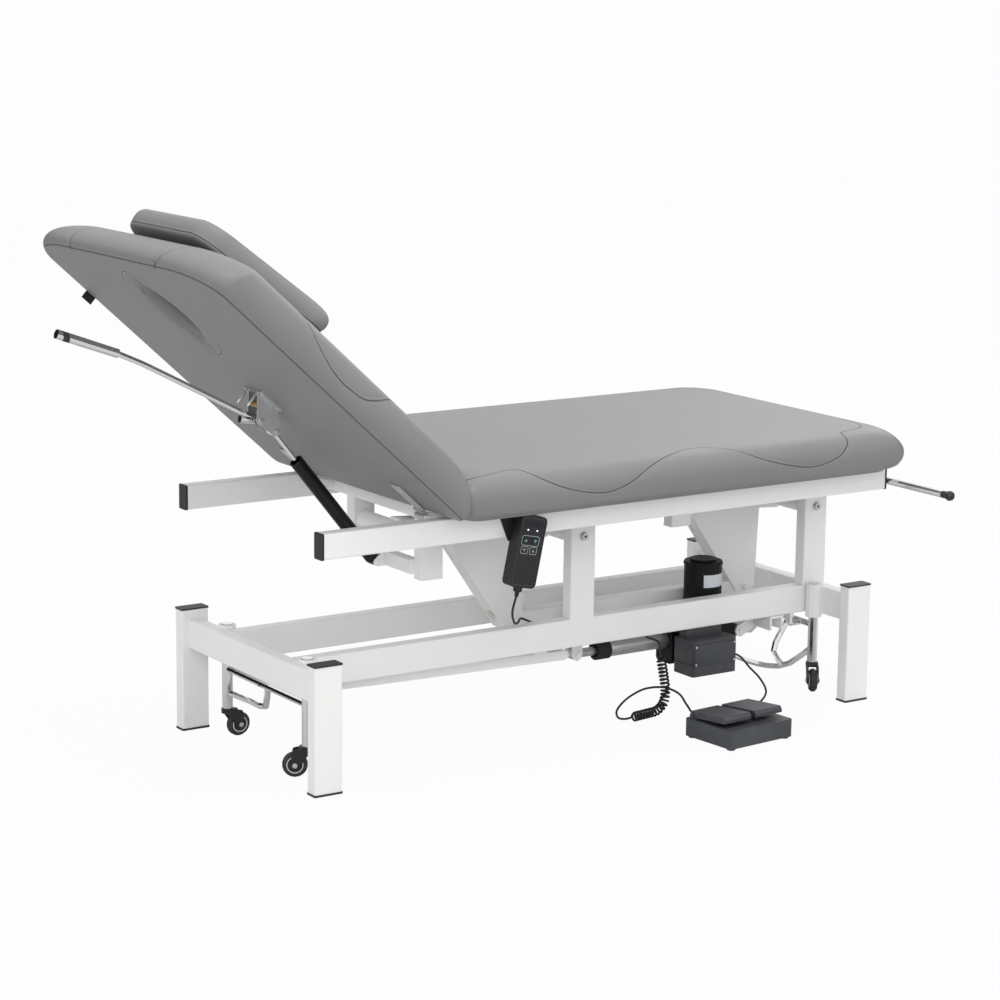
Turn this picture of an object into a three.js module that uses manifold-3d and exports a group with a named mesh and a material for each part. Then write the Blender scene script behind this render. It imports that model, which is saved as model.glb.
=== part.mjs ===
// Electric height-adjustable examination table: a two-section cushion on a white steel
// frame that a parallelogram linkage raises. Millimetres, +Z up, X along the table with
// the head end at -X, origin on the floor at the middle of the base.
import * as THREE from "three";
import { mergeVertices } from "three/addons/utils/BufferGeometryUtils.js";
import Module from "manifold-3d";

const wasm = await Module();
wasm.setup();

// Driving sizes
const gap = 0.3; // between pieces that touch
const overrun = 2; // a cutter runs this far past the face it cuts
const turn = { degree: Math.PI / 180, square: Math.PI / 2, full: Math.PI * 2 };
const sides = { fine: 18, round: 10, small: 8, wire: 6, hex: 6, corner: 1, pad: 4, bend: 6 };

// Square tube sections of the frame.
const tube = { wide: 60, thin: 30, railHigh: 50, round: 3 };

// Base: four legs, two end rails, two side rails and two pairs of posts.
const base = { length: 1366.6, width: 568.8, height: 255.4, railTop: 232.5, between: 230.3 };
const cap = { thick: 3, lip: 1.2, foot: 4, plate: 4 };
const post = { above: 26, bolt: 7.5, boltHigh: 5, washer: 10, washerThick: 1.6 };

// Lift: two equal arms, their pivots, the levers under them and the bar that joins these.
const lift = { headX: 28.5, footX: 642, pivotZ: 404, run: 364.5, rise: 26 };
const arm = { high: 50, wide: 36, tube: 40, shaft: 16, bore: 17.4 };
const lever = { back: 91, drop: 191, plate: 4, nose: 25, top: 5, pin: 12, bore: 13.4 };
const sync = { wide: 35, high: 30, past: 18 };

// Linear drive beside the joining bar.
const drive = { y: -68, pivotX: 490, lugX: 62, z: 134.7, tube: 34, bore: 29.6, rod: 19.6 };
const driveTube = { from: 115, collar: 33, collarWide: 40, to: 298, blind: 8 };
const driveRod = { length: 199, eye: 12, eyeThick: 21, plate: 4, pin: 10, bore: 11.2 };
const gearbox = { length: 166, wide: 56, high: 84, drop: 49, round: 8, tail: 14 };
const motor = { wide: 82, x: 398, top: 297.5, cap: 58, capHigh: 5, rib: 3, ribHigh: 7 };
const channel = { x: 542, wide: 36, high: 30, cheek: 5 };

// Upper frame: two long rails, two cross members, four stubs that carry the arms.
const upper = { head: -669.6, foot: 712.4, width: 576.8, top: 508.8, wide: 30 };
const member = { wide: 50, high: 30, headX: -336.15, footX: 278.35 };
const stub = { wide: 50, thin: 30, headLow: 355.6, footLow: 397.8, cap: 3 };
const gasBar = { x: -360, wide: 24, high: 30, z: 380, lug: 4, pin: 8, pinBore: 9.2 };

// Backrest hinge, in the upper frame, and the rest angle of the backrest.
const hinge = { x: -406.9, z: 503, below: 8, pin: 8, bore: 9.2, knuckle: 12, inset: 43.4 };
const recline = 42;
const strap = { wide: 34, to: 92, thick: 4, screwA: 32, screwB: 68, screw: 9 };
const ear = { thick: 5, play: 0.5 };

// Cushions.
const cushion = { halfWide: 366, board: 7.2, boardIn: 26, backIn: 3, seam: 3.2, seamWide: 7 };
const cornerGrowShare = 0.5;
const seat = { head: -398, foot: 728, low: 509.4, side: 66, top: 84, crown: 7, round: 17, nose: 58 };
const back = { lift: 4, hip: 4, head: 757, side: 62, top: 80, crown: 14, cornerY: 150, cornerX: 62 };
const slot = { from: 498, to: 655, half: 56 };
const pillow = { from: 425, to: 705, half: 268, headHalf: 150, thick: 46, crown: 12, round: 40 };

// Gas spring and release lever, on the middle plane of the backrest.
const gas = { footX: -382.6, footZ: 372, topX: -614.7, topZ: 656.8, wide: 28, bore: 22 };
const gasTube = { length: 284, blind: 30, eye: 9.5, eyeThick: 22 };
const gasRod = { length: 150, wide: 10, eye: 9, eyeThick: 18 };
const bracket = { from: 283, to: 345, half: 36, thick: 4, cheek: 3, inner: 17, pin: 8 };
const release = { pivotS: 300, pivotZ: -30, elbowS: 603, elbowZ: -109, tipS: 740, tipZ: -164 };
const handle = { rod: 11, hub: 10, grip: 19, gripLong: 132, knob: 15, knobLong: 24, knobDrop: 16, bore: 9.2 };

// Paper roll bar at the foot end.
const roll = { x: 721, z: 475, rod: 16, bore: 17, near: -476, far: 268, ball: 22, ring: 13 };
const rollPlate = { thick: 6, back: 34, rise: 9 };

// Hand control on its clip.
const hand = { x: -226, out: 17.6, z: 432, tilt: 12, wide: 61, high: 142, deep: 28, round: 9 };
const handFace = { lip: 4, sink: 1.4, key: 13, keyUp: 22, keyAcross: 11, keyOut: 0.6, keyIn: 1 };
const relief = { wide: 9, long: 20, tail: 7 };
const clip = { wide: 34, high: 58, thick: 3, slope: 14 };

// Control box under the base and the foot switch on the floor.
const box = { x: 291, long: 115, low: 77, high: 76, front: -180, deep: 69, round: 5 };
const boxPlate = { thick: 4, lap: 12, groove: 1.6 };
const pedalBox = { x: 261.3, y: -375.5, turn: 5, long: 172, deep: 137, top: 41, foot: 4 };
const pedal = { wide: 74, deep: 96, rise: 13, play: 2.5, lift: 7, pin: 5, bore: 5.9 };

// Retracting castors: a welded chrome yoke at each end, swivel forks and wheels.
const castor = { inset: 53.3, y: 162, stem: 22, sleeve: 36, sleeveLow: 165, sleeveHigh: 238 };
const castorStem = { low: 64, bar: 14, barZ: 146, wire: 13, bore: 23.8 };
const fork = { hub: 26, hubHigh: 10, trail: 24, plate: 3, nose: 9, pin: 6, play: 1 };
const wheel = { wide: 50, tread: 17, clear: 3, bore: 6.9, hub: 30, dish: 2.5, edge: 5 };
const castorTurn = { headNear: 150, headFar: 0, footNear: 237, footFar: 20 };
const brace = { y: -100, thin: 13, high: 20, headX: -605, headZ: 160, footX: 14, footZ: 147 };

// Leads.
const lead = { wide: 4.4, curl: 22, curls: 25, wire: 5, steps: 8 };
const leadSteps = { hand: 32, foot: 28, box: 18 };

// Solids
function solid(geometry) {
  const plain = geometry.index ? geometry.toNonIndexed() : geometry.clone();
  plain.deleteAttribute("normal");
  plain.deleteAttribute("uv");
  const merged = mergeVertices(plain, 1e-4);
  return new wasm.Manifold(
    new wasm.Mesh({
      numProp: 3,
      vertProperties: merged.attributes.position.array,
      triVerts: new Uint32Array(merged.index.array),
    }),
  );
}

function geometryOf(body) {
  const mesh = body.getMesh();
  const geometry = new THREE.BufferGeometry();
  geometry.setAttribute("position", new THREE.BufferAttribute(mesh.vertProperties, 3));
  geometry.setIndex(new THREE.BufferAttribute(mesh.triVerts, 1));
  const flat = geometry.toNonIndexed();
  flat.computeVertexNormals();
  return flat;
}

const join = (...bodies) => bodies.reduce((whole, one) => whole.add(one));
const cut = (body, ...tools) => tools.reduce((whole, one) => whole.subtract(one), body);

const frames = {
  x: new THREE.Matrix4().makeBasis(
    new THREE.Vector3(0, 1, 0),
    new THREE.Vector3(0, 0, 1),
    new THREE.Vector3(1, 0, 0),
  ),
  y: new THREE.Matrix4().makeBasis(
    new THREE.Vector3(1, 0, 0),
    new THREE.Vector3(0, 0, 1),
    new THREE.Vector3(0, -1, 0),
  ),
  z: new THREE.Matrix4(),
};

// A shape pushed along an axis. Its own plane is (y, z), (x, z) or (x, y).
function prism(axis, shape, from, to) {
  const depth = to - from;
  const made = new THREE.ExtrudeGeometry(shape, {
    depth,
    bevelEnabled: false,
    curveSegments: sides.corner,
  });
  made.applyMatrix4(frames[axis]);
  if (axis === "x") made.translate(from, 0, 0);
  if (axis === "y") made.translate(0, to, 0);
  if (axis === "z") made.translate(0, 0, from);
  return solid(made);
}

function roundedShape(u, v, wide, high, radius) {
  const left = u - wide / 2;
  const low = v - high / 2;
  const r = Math.min(radius, wide / 2.01, high / 2.01);
  const shape = new THREE.Shape();
  shape.moveTo(left + r, low);
  shape.lineTo(left + wide - r, low);
  shape.absarc(left + wide - r, low + r, r, -turn.square, 0, false);
  shape.lineTo(left + wide, low + high - r);
  shape.absarc(left + wide - r, low + high - r, r, 0, turn.square, false);
  shape.lineTo(left + r, low + high);
  shape.absarc(left + r, low + high - r, r, turn.square, 2 * turn.square, false);
  shape.lineTo(left, low + r);
  shape.absarc(left + r, low + r, r, 2 * turn.square, 3 * turn.square, false);
  return shape;
}

const bar = (axis, from, to, u, v, wide, high, radius = tube.round) =>
  prism(axis, roundedShape(u, v, wide, high, radius), from, to);

function block(x0, x1, y0, y1, z0, z1) {
  const made = new THREE.BoxGeometry(x1 - x0, y1 - y0, z1 - z0);
  made.translate((x0 + x1) / 2, (y0 + y1) / 2, (z0 + z1) / 2);
  return solid(made);
}

// The outline drawn tight round a set of circles, each [u, v, radius].
function hullShape(circles, facets = sides.small) {
  const dots = [];
  circles.forEach(([u, v, r]) => {
    for (let i = 0; i < facets; i += 1) {
      const a = (turn.full * i) / facets;
      dots.push([u + r * Math.cos(a), v + r * Math.sin(a)]);
    }
  });
  dots.sort((p, q) => p[0] - q[0] || p[1] - q[1]);
  const side = (o, p, q) => (p[0] - o[0]) * (q[1] - o[1]) - (p[1] - o[1]) * (q[0] - o[0]);
  const chain = (list) => {
    const kept = [];
    list.forEach((dot) => {
      while (kept.length > 1 && side(kept[kept.length - 2], kept[kept.length - 1], dot) <= 0) {
        kept.pop();
      }
      kept.push(dot);
    });
    kept.pop();
    return kept;
  };
  const ring = [...chain(dots), ...chain([...dots].reverse())];
  return new THREE.Shape(ring.map(([u, v]) => new THREE.Vector2(u, v)));
}

// A round rod between two points.
function rod(from, to, radius, facets = sides.round, tip = radius) {
  const a = new THREE.Vector3(...from);
  const b = new THREE.Vector3(...to);
  const along = b.clone().sub(a);
  const made = new THREE.CylinderGeometry(tip, radius, along.length(), facets);
  const up = new THREE.Vector3(0, 1, 0);
  const q = new THREE.Quaternion().setFromUnitVectors(up, along.normalize());
  made.applyQuaternion(q);
  const mid = a.add(b).multiplyScalar(0.5);
  made.translate(mid.x, mid.y, mid.z);
  return solid(made);
}

const across = (x, z, y0, y1, radius, facets) => rod([x, y0, z], [x, y1, z], radius, facets);
const upright = (x, y, z0, z1, radius, facets) => rod([x, y, z0], [x, y, z1], radius, facets);

// A round bar bent along points.
function sweep(points, radius, facets, steps, tension = 0.5) {
  const path = new THREE.CatmullRomCurve3(
    points.map((p) => new THREE.Vector3(...p)),
    false,
    "centripetal",
    tension,
  );
  const ring = new THREE.Shape(
    Array.from({ length: facets }, (_, i) => {
      const a = (turn.full * i) / facets;
      return new THREE.Vector2(radius * Math.cos(a), radius * Math.sin(a));
    }),
  );
  return solid(
    new THREE.ExtrudeGeometry(ring, { steps, bevelEnabled: false, extrudePath: path }),
  );
}

// Half profiles [radius, height] turned about Y, then laid along the Y axis.
function turned(profile, facets) {
  const dots = profile.map(([r, y]) => new THREE.Vector2(r, y));
  return solid(new THREE.LatheGeometry(dots, facets));
}

// A button head with its washer, on a face that looks along -Y or +Y.
function boltHead(x, z, face, way) {
  const wash = face + way * post.washerThick;
  const head = wash + way * post.boltHigh;
  return join(
    across(x, z, face - way * gap, wash + way * gap, post.washer, sides.round),
    across(x, z, wash, head, post.bolt, sides.round),
  );
}

// Meshes
const table = new THREE.Group();
const group = (parent, x = 0, y = 0, z = 0) => {
  const made = new THREE.Group();
  made.position.set(x, y, z);
  parent.add(made);
  return made;
};
const paints = {
  white: [0xe9e9e8, 0.42, 0.1],
  black: [0x17181a, 0.5, 0.05],
  chrome: [0xc9cccf, 0.14, 1],
  steel: [0xa9acae, 0.35, 0.9],
  vinyl: [0x8b8c8e, 0.55, 0],
  rubber: [0x1b1c1e, 0.7, 0],
};
function add(parent, name, body, paint) {
  const [color, roughness, metalness] = paints[paint];
  const material = new THREE.MeshStandardMaterial({ color, roughness, metalness });
  const mesh = new THREE.Mesh(geometryOf(body), material);
  mesh.name = name;
  parent.add(mesh);
  return mesh;
}

// Base
const legX = base.length / 2 - tube.wide / 2;
const legY = base.width / 2 - tube.thin / 2;
const railZ = base.railTop - tube.wide / 2;
const railLow = base.railTop - tube.wide;
const endInner = legX - tube.thin / 2;
const sideY = base.between / 2 + tube.thin / 2;
const sideOuter = sideY + tube.thin / 2;
const sideInner = base.between / 2;
const castorX = base.length / 2 - castor.inset;

const castorSpots = [
  [-castorX, -castor.y],
  [-castorX, castor.y],
  [castorX, -castor.y],
  [castorX, castor.y],
];

function endFrame(way) {
  const x = way * legX;
  const legs = [-legY, legY].map((y) =>
    join(
      bar("z", cap.foot + gap, base.height - cap.thick, x, y, tube.wide, tube.thin),
      bar(
        "z",
        base.height - cap.thick,
        base.height,
        x,
        y,
        tube.wide + 2 * cap.lip,
        tube.thin + 2 * cap.lip,
      ),
    ),
  );
  const rail = bar("y", -legY, legY, x, railZ, tube.thin, tube.wide);
  const notches = castorSpots.map(([cx, cy]) =>
    upright(cx, cy, railLow - overrun, base.railTop + overrun, castor.sleeve / 2 + gap),
  );
  const nut = rod(
    [way * endInner, 0, railZ + tube.thin / 2],
    [way * (endInner - post.boltHigh), 0, railZ + tube.thin / 2],
    post.bolt,
    sides.hex,
  );
  return join(cut(rail, ...notches), ...legs, nut);
}
add(table, "end_frame_head", endFrame(-1), "white");
add(table, "end_frame_foot", endFrame(1), "white");

[
  ["foot_head_near", -1, -1],
  ["foot_head_far", -1, 1],
  ["foot_foot_near", 1, -1],
  ["foot_foot_far", 1, 1],
].forEach(([name, sx, sy]) => {
  const wide = tube.wide + 2 * cap.lip;
  const thin = tube.thin + 2 * cap.lip;
  add(
    table,
    name,
    bar("z", 0, cap.foot, sx * legX, sy * legY, wide, thin),
    "rubber",
  );
});

const postTop = lift.pivotZ + post.above;
function sideRail(way) {
  const y = way * sideY;
  const end = endInner - gap;
  const rail = bar("x", -end, end, y, railZ, tube.thin, tube.wide);
  const headPost = bar("z", railZ, postTop, lift.headX, y, tube.wide, tube.thin);
  const footPost = cut(
    bar("z", railZ, postTop, lift.footX, y, tube.wide, tube.thin),
    block(
      end,
      end + tube.wide,
      y - tube.wide,
      y + tube.wide,
      railLow - overrun,
      base.railTop + gap,
    ),
  );
  const sleeves = [-1, 1].map((e) =>
    upright(e * castorX, way * castor.y, castor.sleeveLow, castor.sleeveHigh, castor.sleeve / 2),
  );
  const bores = [-1, 1].map((e) =>
    upright(
      e * castorX,
      way * castor.y,
      castor.sleeveLow - overrun,
      castor.sleeveHigh + overrun,
      castorStem.bore / 2,
    ),
  );
  const shafts = [lift.headX, lift.footX].map((x) =>
    across(x, lift.pivotZ, y - tube.thin, y + tube.thin, arm.bore / 2),
  );
  return cut(join(rail, headPost, footPost, ...sleeves), ...bores, ...shafts);
}
add(table, "side_rail_near", sideRail(-1), "white");
add(table, "side_rail_far", sideRail(1), "white");

function pivotAxle(x) {
  const reach = sideOuter + gap;
  return join(
    across(x, lift.pivotZ, -reach - gap, reach + gap, arm.shaft / 2),
    boltHead(x, lift.pivotZ, -reach, -1),
    boltHead(x, lift.pivotZ, reach, 1),
  );
}
add(table, "pivot_axle_head", pivotAxle(lift.headX), "steel");
add(table, "pivot_axle_foot", pivotAxle(lift.footX), "steel");

// Cross channel under the side rails, with the clevis that holds the drive's tail.
const tailCheek = gearbox.tail + ear.play;
function crossChannel() {
  const top = railLow - gap;
  const low = top - channel.high;
  const x0 = channel.x - channel.wide / 2;
  const x1 = channel.x + channel.wide / 2;
  const body = cut(
    block(x0, x1, -sideOuter, sideOuter, low, top),
    block(
      x0 + channel.cheek,
      x1 - channel.cheek,
      -sideOuter - overrun,
      sideOuter + overrun,
      low - overrun,
      top - channel.cheek,
    ),
  );
  const cheeks = [-1, 1].map((way) => {
    const inner = drive.y + way * tailCheek;
    const outer = inner + way * channel.cheek;
    return prism(
      "y",
      hullShape([
        [drive.pivotX, drive.z, gearbox.tail],
        [x0 + channel.cheek / 2, top - gearbox.tail, gearbox.tail / 2],
        [x0 + channel.cheek / 2, low + gearbox.tail / 2, gearbox.tail / 2],
      ]),
      Math.min(inner, outer),
      Math.max(inner, outer),
    );
  });
  const reach = tailCheek + channel.cheek + overrun;
  const pin = across(
    drive.pivotX,
    drive.z,
    drive.y - reach,
    drive.y + reach,
    driveRod.pin / 2,
  );
  return join(body, ...cheeks, pin);
}
add(table, "drive_channel", crossChannel(), "white");

// Brace tube beside the near side rail, hung on two tabs.
function braceBar() {
  const from = [brace.headX, brace.headZ];
  const to = [brace.footX, brace.footZ];
  const body = prism(
    "y",
    hullShape([
      [from[0], from[1], brace.high / 2],
      [to[0], to[1], brace.high / 2],
    ]),
    brace.y - brace.thin / 2,
    brace.y + brace.thin / 2,
  );
  const reach = -sideInner + gap;
  const tabs = [brace.headX + tube.wide, brace.footX - tube.wide].map((x) =>
    bar("y", reach, brace.y, x, railLow + brace.high / 2, tube.thin, brace.high),
  );
  const straps = [brace.headX + tube.wide, brace.footX - tube.wide].map((x) =>
    block(
      x - tube.thin / 2,
      x + tube.thin / 2,
      brace.y - brace.thin / 2,
      brace.y + brace.thin / 2,
      brace.footZ,
      railLow + brace.high,
    ),
  );
  return join(body, ...tabs, ...straps);
}
add(table, "brace_bar", braceBar(), "steel");

// Lift arms and the bar between their levers
const innerReach = sideInner - gap;
const armTilt = Math.atan2(lift.rise, lift.run) / turn.degree;
const armLong = Math.hypot(lift.run, lift.rise);

// The lever's outline, in shares of the arm's run and of the lever's own drop.
const leverTopShares = [
  [-0.715, 0.09],
  [-0.17, 0.03],
];
const leverLowShares = [-0.355, -0.89];

function liftArm() {
  const beam = bar("x", -armLong, 0, 0, 0, arm.wide, arm.high).rotate([0, armTilt, 0]);
  const plates = [-1, 1].map((way) => {
    const inner = (way * arm.wide) / 2;
    const outer = inner + way * lever.plate;
    const outline = hullShape([
      ...leverTopShares.map(([u, v]) => [u * lift.run, v * lever.drop, lever.top]),
      [leverLowShares[0] * lift.run, leverLowShares[1] * lever.drop, lever.top],
      [-lever.back, -lever.drop, lever.nose],
    ]);
    return prism("y", outline, Math.min(inner, outer), Math.max(inner, outer));
  });
  const webTop = [leverTopShares[0][0] * lift.run, leverTopShares[0][1] * lever.drop];
  const webLow = [leverLowShares[0] * lift.run, leverLowShares[1] * lever.drop];
  const web = prism(
    "y",
    hullShape([
      [webTop[0], webTop[1], lever.plate / 2],
      [webLow[0], webLow[1], lever.plate / 2],
    ]),
    -arm.wide / 2,
    arm.wide / 2,
  );
  const pinReach = arm.wide / 2 + lever.plate;
  const pin = across(-lever.back, -lever.drop, -pinReach, pinReach, lever.pin / 2);
  const heads = [-1, 1].map((way) => boltHead(-lever.back, -lever.drop, way * pinReach, way));
  const pipes = [
    across(0, 0, -innerReach, innerReach, arm.tube / 2, sides.fine),
    across(-lift.run, lift.rise, -innerReach, innerReach, arm.tube / 2, sides.fine),
  ];
  const bores = [
    across(0, 0, -innerReach - overrun, innerReach + overrun, arm.bore / 2),
    across(-lift.run, lift.rise, -innerReach - overrun, innerReach + overrun, arm.bore / 2),
  ];
  return cut(join(beam, ...plates, web, pin, ...heads, ...pipes), ...bores);
}
const armBody = liftArm();
const armHead = group(table, lift.headX, 0, lift.pivotZ);
const armFoot = group(table, lift.footX, 0, lift.pivotZ);
add(armHead, "lift_arm_head", armBody, "white");
add(armFoot, "lift_arm_foot", armBody, "white");

const apexX = lift.headX - lever.back;
const apexZ = lift.pivotZ - lever.drop;
function syncBeam() {
  const far = lift.footX - lever.back;
  const beam = bar(
    "x",
    apexX - sync.past,
    far + sync.past,
    0,
    apexZ,
    sync.wide,
    sync.high,
  );
  const low = apexZ - sync.high / 2;
  const half = driveRod.eyeThick / 2 + ear.play;
  const shelfHalf = driveRod.eye + driveRod.plate;
  const shelf = block(
    drive.lugX - shelfHalf,
    drive.lugX + shelfHalf,
    drive.y - half - driveRod.plate,
    sync.wide / 2 - lever.plate,
    low - driveRod.plate,
    low + driveRod.plate,
  );
  const cheeks = [-1, 1].map((way) => {
    const inner = drive.y + way * half;
    const outer = inner + way * driveRod.plate;
    return prism(
      "y",
      hullShape([
        [drive.lugX, drive.z, driveRod.eye],
        [drive.lugX - driveRod.eye, low - driveRod.plate / 2, driveRod.plate / 2],
        [drive.lugX + driveRod.eye, low - driveRod.plate / 2, driveRod.plate / 2],
      ]),
      Math.min(inner, outer),
      Math.max(inner, outer),
    );
  });
  const reach = half + driveRod.plate;
  const pin = across(
    drive.lugX,
    drive.z,
    drive.y - reach,
    drive.y + reach,
    driveRod.pin / 2,
  );
  const heads = [-1, 1].map((way) =>
    boltHead(drive.lugX, drive.z, drive.y + way * reach, way),
  );
  const bores = [apexX, far].map((x) =>
    across(x, apexZ, -sync.wide, sync.wide, lever.bore / 2),
  );
  return join(cut(beam, ...bores), shelf, ...cheeks, pin, ...heads);
}
add(table, "sync_beam", syncBeam(), "white");

// Drive
function driveHousing() {
  const x0 = driveTube.to + gap;
  const x1 = x0 + gearbox.length;
  const low = drive.z - gearbox.drop;
  const shell = bar(
    "x",
    x0,
    x1,
    drive.y,
    low + gearbox.high / 2,
    gearbox.wide,
    gearbox.high,
    gearbox.round,
  );
  const can = upright(motor.x, drive.y, low + gearbox.high / 2, motor.top, motor.wide / 2, sides.fine);
  const lid = upright(
    motor.x,
    drive.y,
    motor.top,
    motor.top + motor.capHigh,
    motor.cap / 2,
    sides.fine,
  );
  const brow = upright(
    motor.x,
    drive.y,
    motor.top - motor.ribHigh,
    motor.top - motor.rib,
    motor.wide / 2 + motor.rib / 2,
    sides.fine,
  );
  const tail = prism(
    "y",
    hullShape([
      [drive.pivotX, drive.z, driveRod.eye],
      [x1 - gearbox.round, drive.z, driveRod.eye],
    ]),
    drive.y - gearbox.tail,
    drive.y + gearbox.tail,
  );
  const bore = across(
    drive.pivotX,
    drive.z,
    drive.y - gearbox.tail - overrun,
    drive.y + gearbox.tail + overrun,
    driveRod.bore / 2,
  );
  return cut(join(shell, can, lid, brow, tail), bore);
}
add(table, "drive_motor", driveHousing(), "black");

const driveTubeBody = cut(
  join(
    rod(
      [driveTube.from, drive.y, drive.z],
      [driveTube.to, drive.y, drive.z],
      drive.tube / 2,
      sides.fine,
    ),
    rod(
      [driveTube.from, drive.y, drive.z],
      [driveTube.from + driveTube.collar, drive.y, drive.z],
      driveTube.collarWide / 2,
      sides.fine,
    ),
  ),
  rod(
    [driveTube.from - overrun, drive.y, drive.z],
    [driveTube.to - driveTube.blind, drive.y, drive.z],
    drive.bore / 2,
    sides.fine,
  ),
);
add(table, "drive_tube", driveTubeBody, "steel");

const driveRodBody = cut(
  join(
    across(
      drive.lugX,
      drive.z,
      drive.y - driveRod.eyeThick / 2,
      drive.y + driveRod.eyeThick / 2,
      driveRod.eye - ear.play,
    ),
    rod(
      [drive.lugX, drive.y, drive.z],
      [drive.lugX + driveRod.length, drive.y, drive.z],
      drive.rod / 2,
      sides.round,
    ),
  ).intersect(
    block(
      drive.lugX - driveRod.length,
      drive.lugX + 2 * driveRod.length,
      drive.y - driveRod.eye,
      drive.y + driveRod.eye,
      0,
      upper.top,
    ),
  ),
  across(drive.lugX, drive.z, drive.y - drive.tube, drive.y + drive.tube, driveRod.bore / 2),
);
add(table, "drive_rod", driveRodBody, "chrome");

// Upper frame
const upperY = upper.width / 2 - upper.wide / 2;
const upperInner = upper.width / 2 - upper.wide;
const strapY = upperInner - hinge.inset;
const upperZ = upper.top - tube.railHigh / 2;
const pivotHead = [lift.headX - lift.run, lift.pivotZ + lift.rise];
const pivotFoot = [lift.footX - lift.run, lift.pivotZ + lift.rise];

function upperFrame() {
  const ends = [upper.head + cap.plate + gap, upper.foot - cap.plate - gap];
  const rails = [-upperY, upperY].map((y) =>
    bar("x", ends[0], ends[1], y, upperZ, upper.wide, tube.railHigh),
  );
  const members = [member.headX, member.footX].map((x) =>
    bar(
      "y",
      -upperInner - tube.round,
      upperInner + tube.round,
      x,
      upper.top - member.high / 2,
      member.wide,
      member.high,
    ),
  );
  const stubs = [
    [member.headX, stub.headLow],
    [member.footX, stub.footLow],
  ].flatMap(([x, low]) =>
    [-sideY, sideY].map((y) =>
      join(
        bar("z", low + stub.cap, upper.top - member.high / 2, x, y, stub.wide, stub.thin),
        bar("z", low, low + stub.cap, x, y, stub.wide + cap.lip, stub.thin + cap.lip),
      ),
    ),
  );
  const axles = [pivotHead, pivotFoot].map(([x, z]) =>
    join(
      across(x, z, -sideOuter, sideOuter, arm.shaft / 2),
      boltHead(x, z, -sideOuter, -1),
      boltHead(x, z, sideOuter, 1),
    ),
  );
  const spar = bar(
    "y",
    -sideInner - tube.round,
    sideInner + tube.round,
    gasBar.x,
    gasBar.z,
    gasBar.wide,
    gasBar.high,
  );
  const lugInner = gasTube.eyeThick / 2 + ear.play;
  const lugs = [-1, 1].map((way) => {
    const outer = lugInner + gasBar.lug;
    return prism(
      "y",
      hullShape([
        [gas.footX, gas.footZ, gasTube.eye],
        [gasBar.x, gasBar.z + gasBar.pin, gasBar.pin],
        [gasBar.x, gasBar.z - gasBar.pin, gasBar.pin],
      ]),
      way < 0 ? -outer : lugInner,
      way < 0 ? -lugInner : outer,
    );
  });
  const lugPin = across(
    gas.footX,
    gas.footZ,
    -lugInner - gasBar.lug - overrun,
    lugInner + gasBar.lug + overrun,
    gasBar.pin / 2,
  );
  const tabs = [-strapY, strapY].flatMap((y) => {
    const inner = strap.wide / 2 + ear.play;
    const plates = [-1, 1].map((way) => {
      const a = y + way * inner;
      const b = a + way * ear.thick;
      return prism(
        "y",
        hullShape([
          [hinge.x, hinge.z, hinge.knuckle / 2 - gap],
          [member.headX, upper.top - member.high / 2, hinge.knuckle / 2],
          [hinge.x + hinge.knuckle, upper.top - member.high / 2, hinge.knuckle / 2],
        ]),
        Math.min(a, b),
        Math.max(a, b),
      );
    });
    const reach = inner + ear.thick;
    return [...plates, across(hinge.x, hinge.z, y - reach, y + reach, hinge.pin / 2, sides.small)];
  });
  const rollEyes = [-1, 1].map((way) => {
    const face = way * (upperInner - gap - cap.lip / 2);
    const inner = face - way * rollPlate.thick;
    const weld = way * (upperInner + gap);
    const plate = prism(
      "y",
      hullShape([
        [roll.x, roll.z, roll.ring],
        [roll.x - rollPlate.back, roll.z + rollPlate.rise, roll.ring],
      ]),
      Math.min(face, inner),
      Math.max(face, inner),
    );
    return join(
      plate,
      block(
        roll.x - rollPlate.back - roll.ring / 2,
        ends[1] - cap.plate,
        Math.min(inner, weld),
        Math.max(inner, weld),
        roll.z,
        roll.z + rollPlate.rise,
      ),
    );
  });
  const rollBore = across(roll.x, roll.z, -upperY, upperY, roll.bore / 2);
  return cut(
    join(...rails, ...members, ...stubs, ...axles, spar, ...lugs, lugPin, ...tabs, ...rollEyes),
    rollBore,
  );
}
add(table, "upper_frame", upperFrame(), "white");

[
  ["rail_cap_head_near", -1, -1],
  ["rail_cap_head_far", -1, 1],
  ["rail_cap_foot_near", 1, -1],
  ["rail_cap_foot_far", 1, 1],
].forEach(([name, ex, ey]) => {
  const from = ex < 0 ? upper.head : upper.foot - cap.plate;
  const wide = upper.wide + cap.lip;
  const high = tube.railHigh + cap.lip;
  const z = upper.top + cap.lip / 2 - high / 2 - gap;
  add(table, name, bar("x", from, from + cap.plate, ey * upperY, z, wide, high), "black");
});

function rollBar() {
  const stick = across(roll.x, roll.z, roll.near, roll.far, roll.rod / 2);
  const ball = new THREE.SphereGeometry(roll.ball / 2, sides.round, sides.wire);
  ball.translate(roll.x, roll.near, roll.z);
  return join(stick, solid(ball));
}
add(table, "roll_bar", rollBar(), "chrome");

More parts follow.
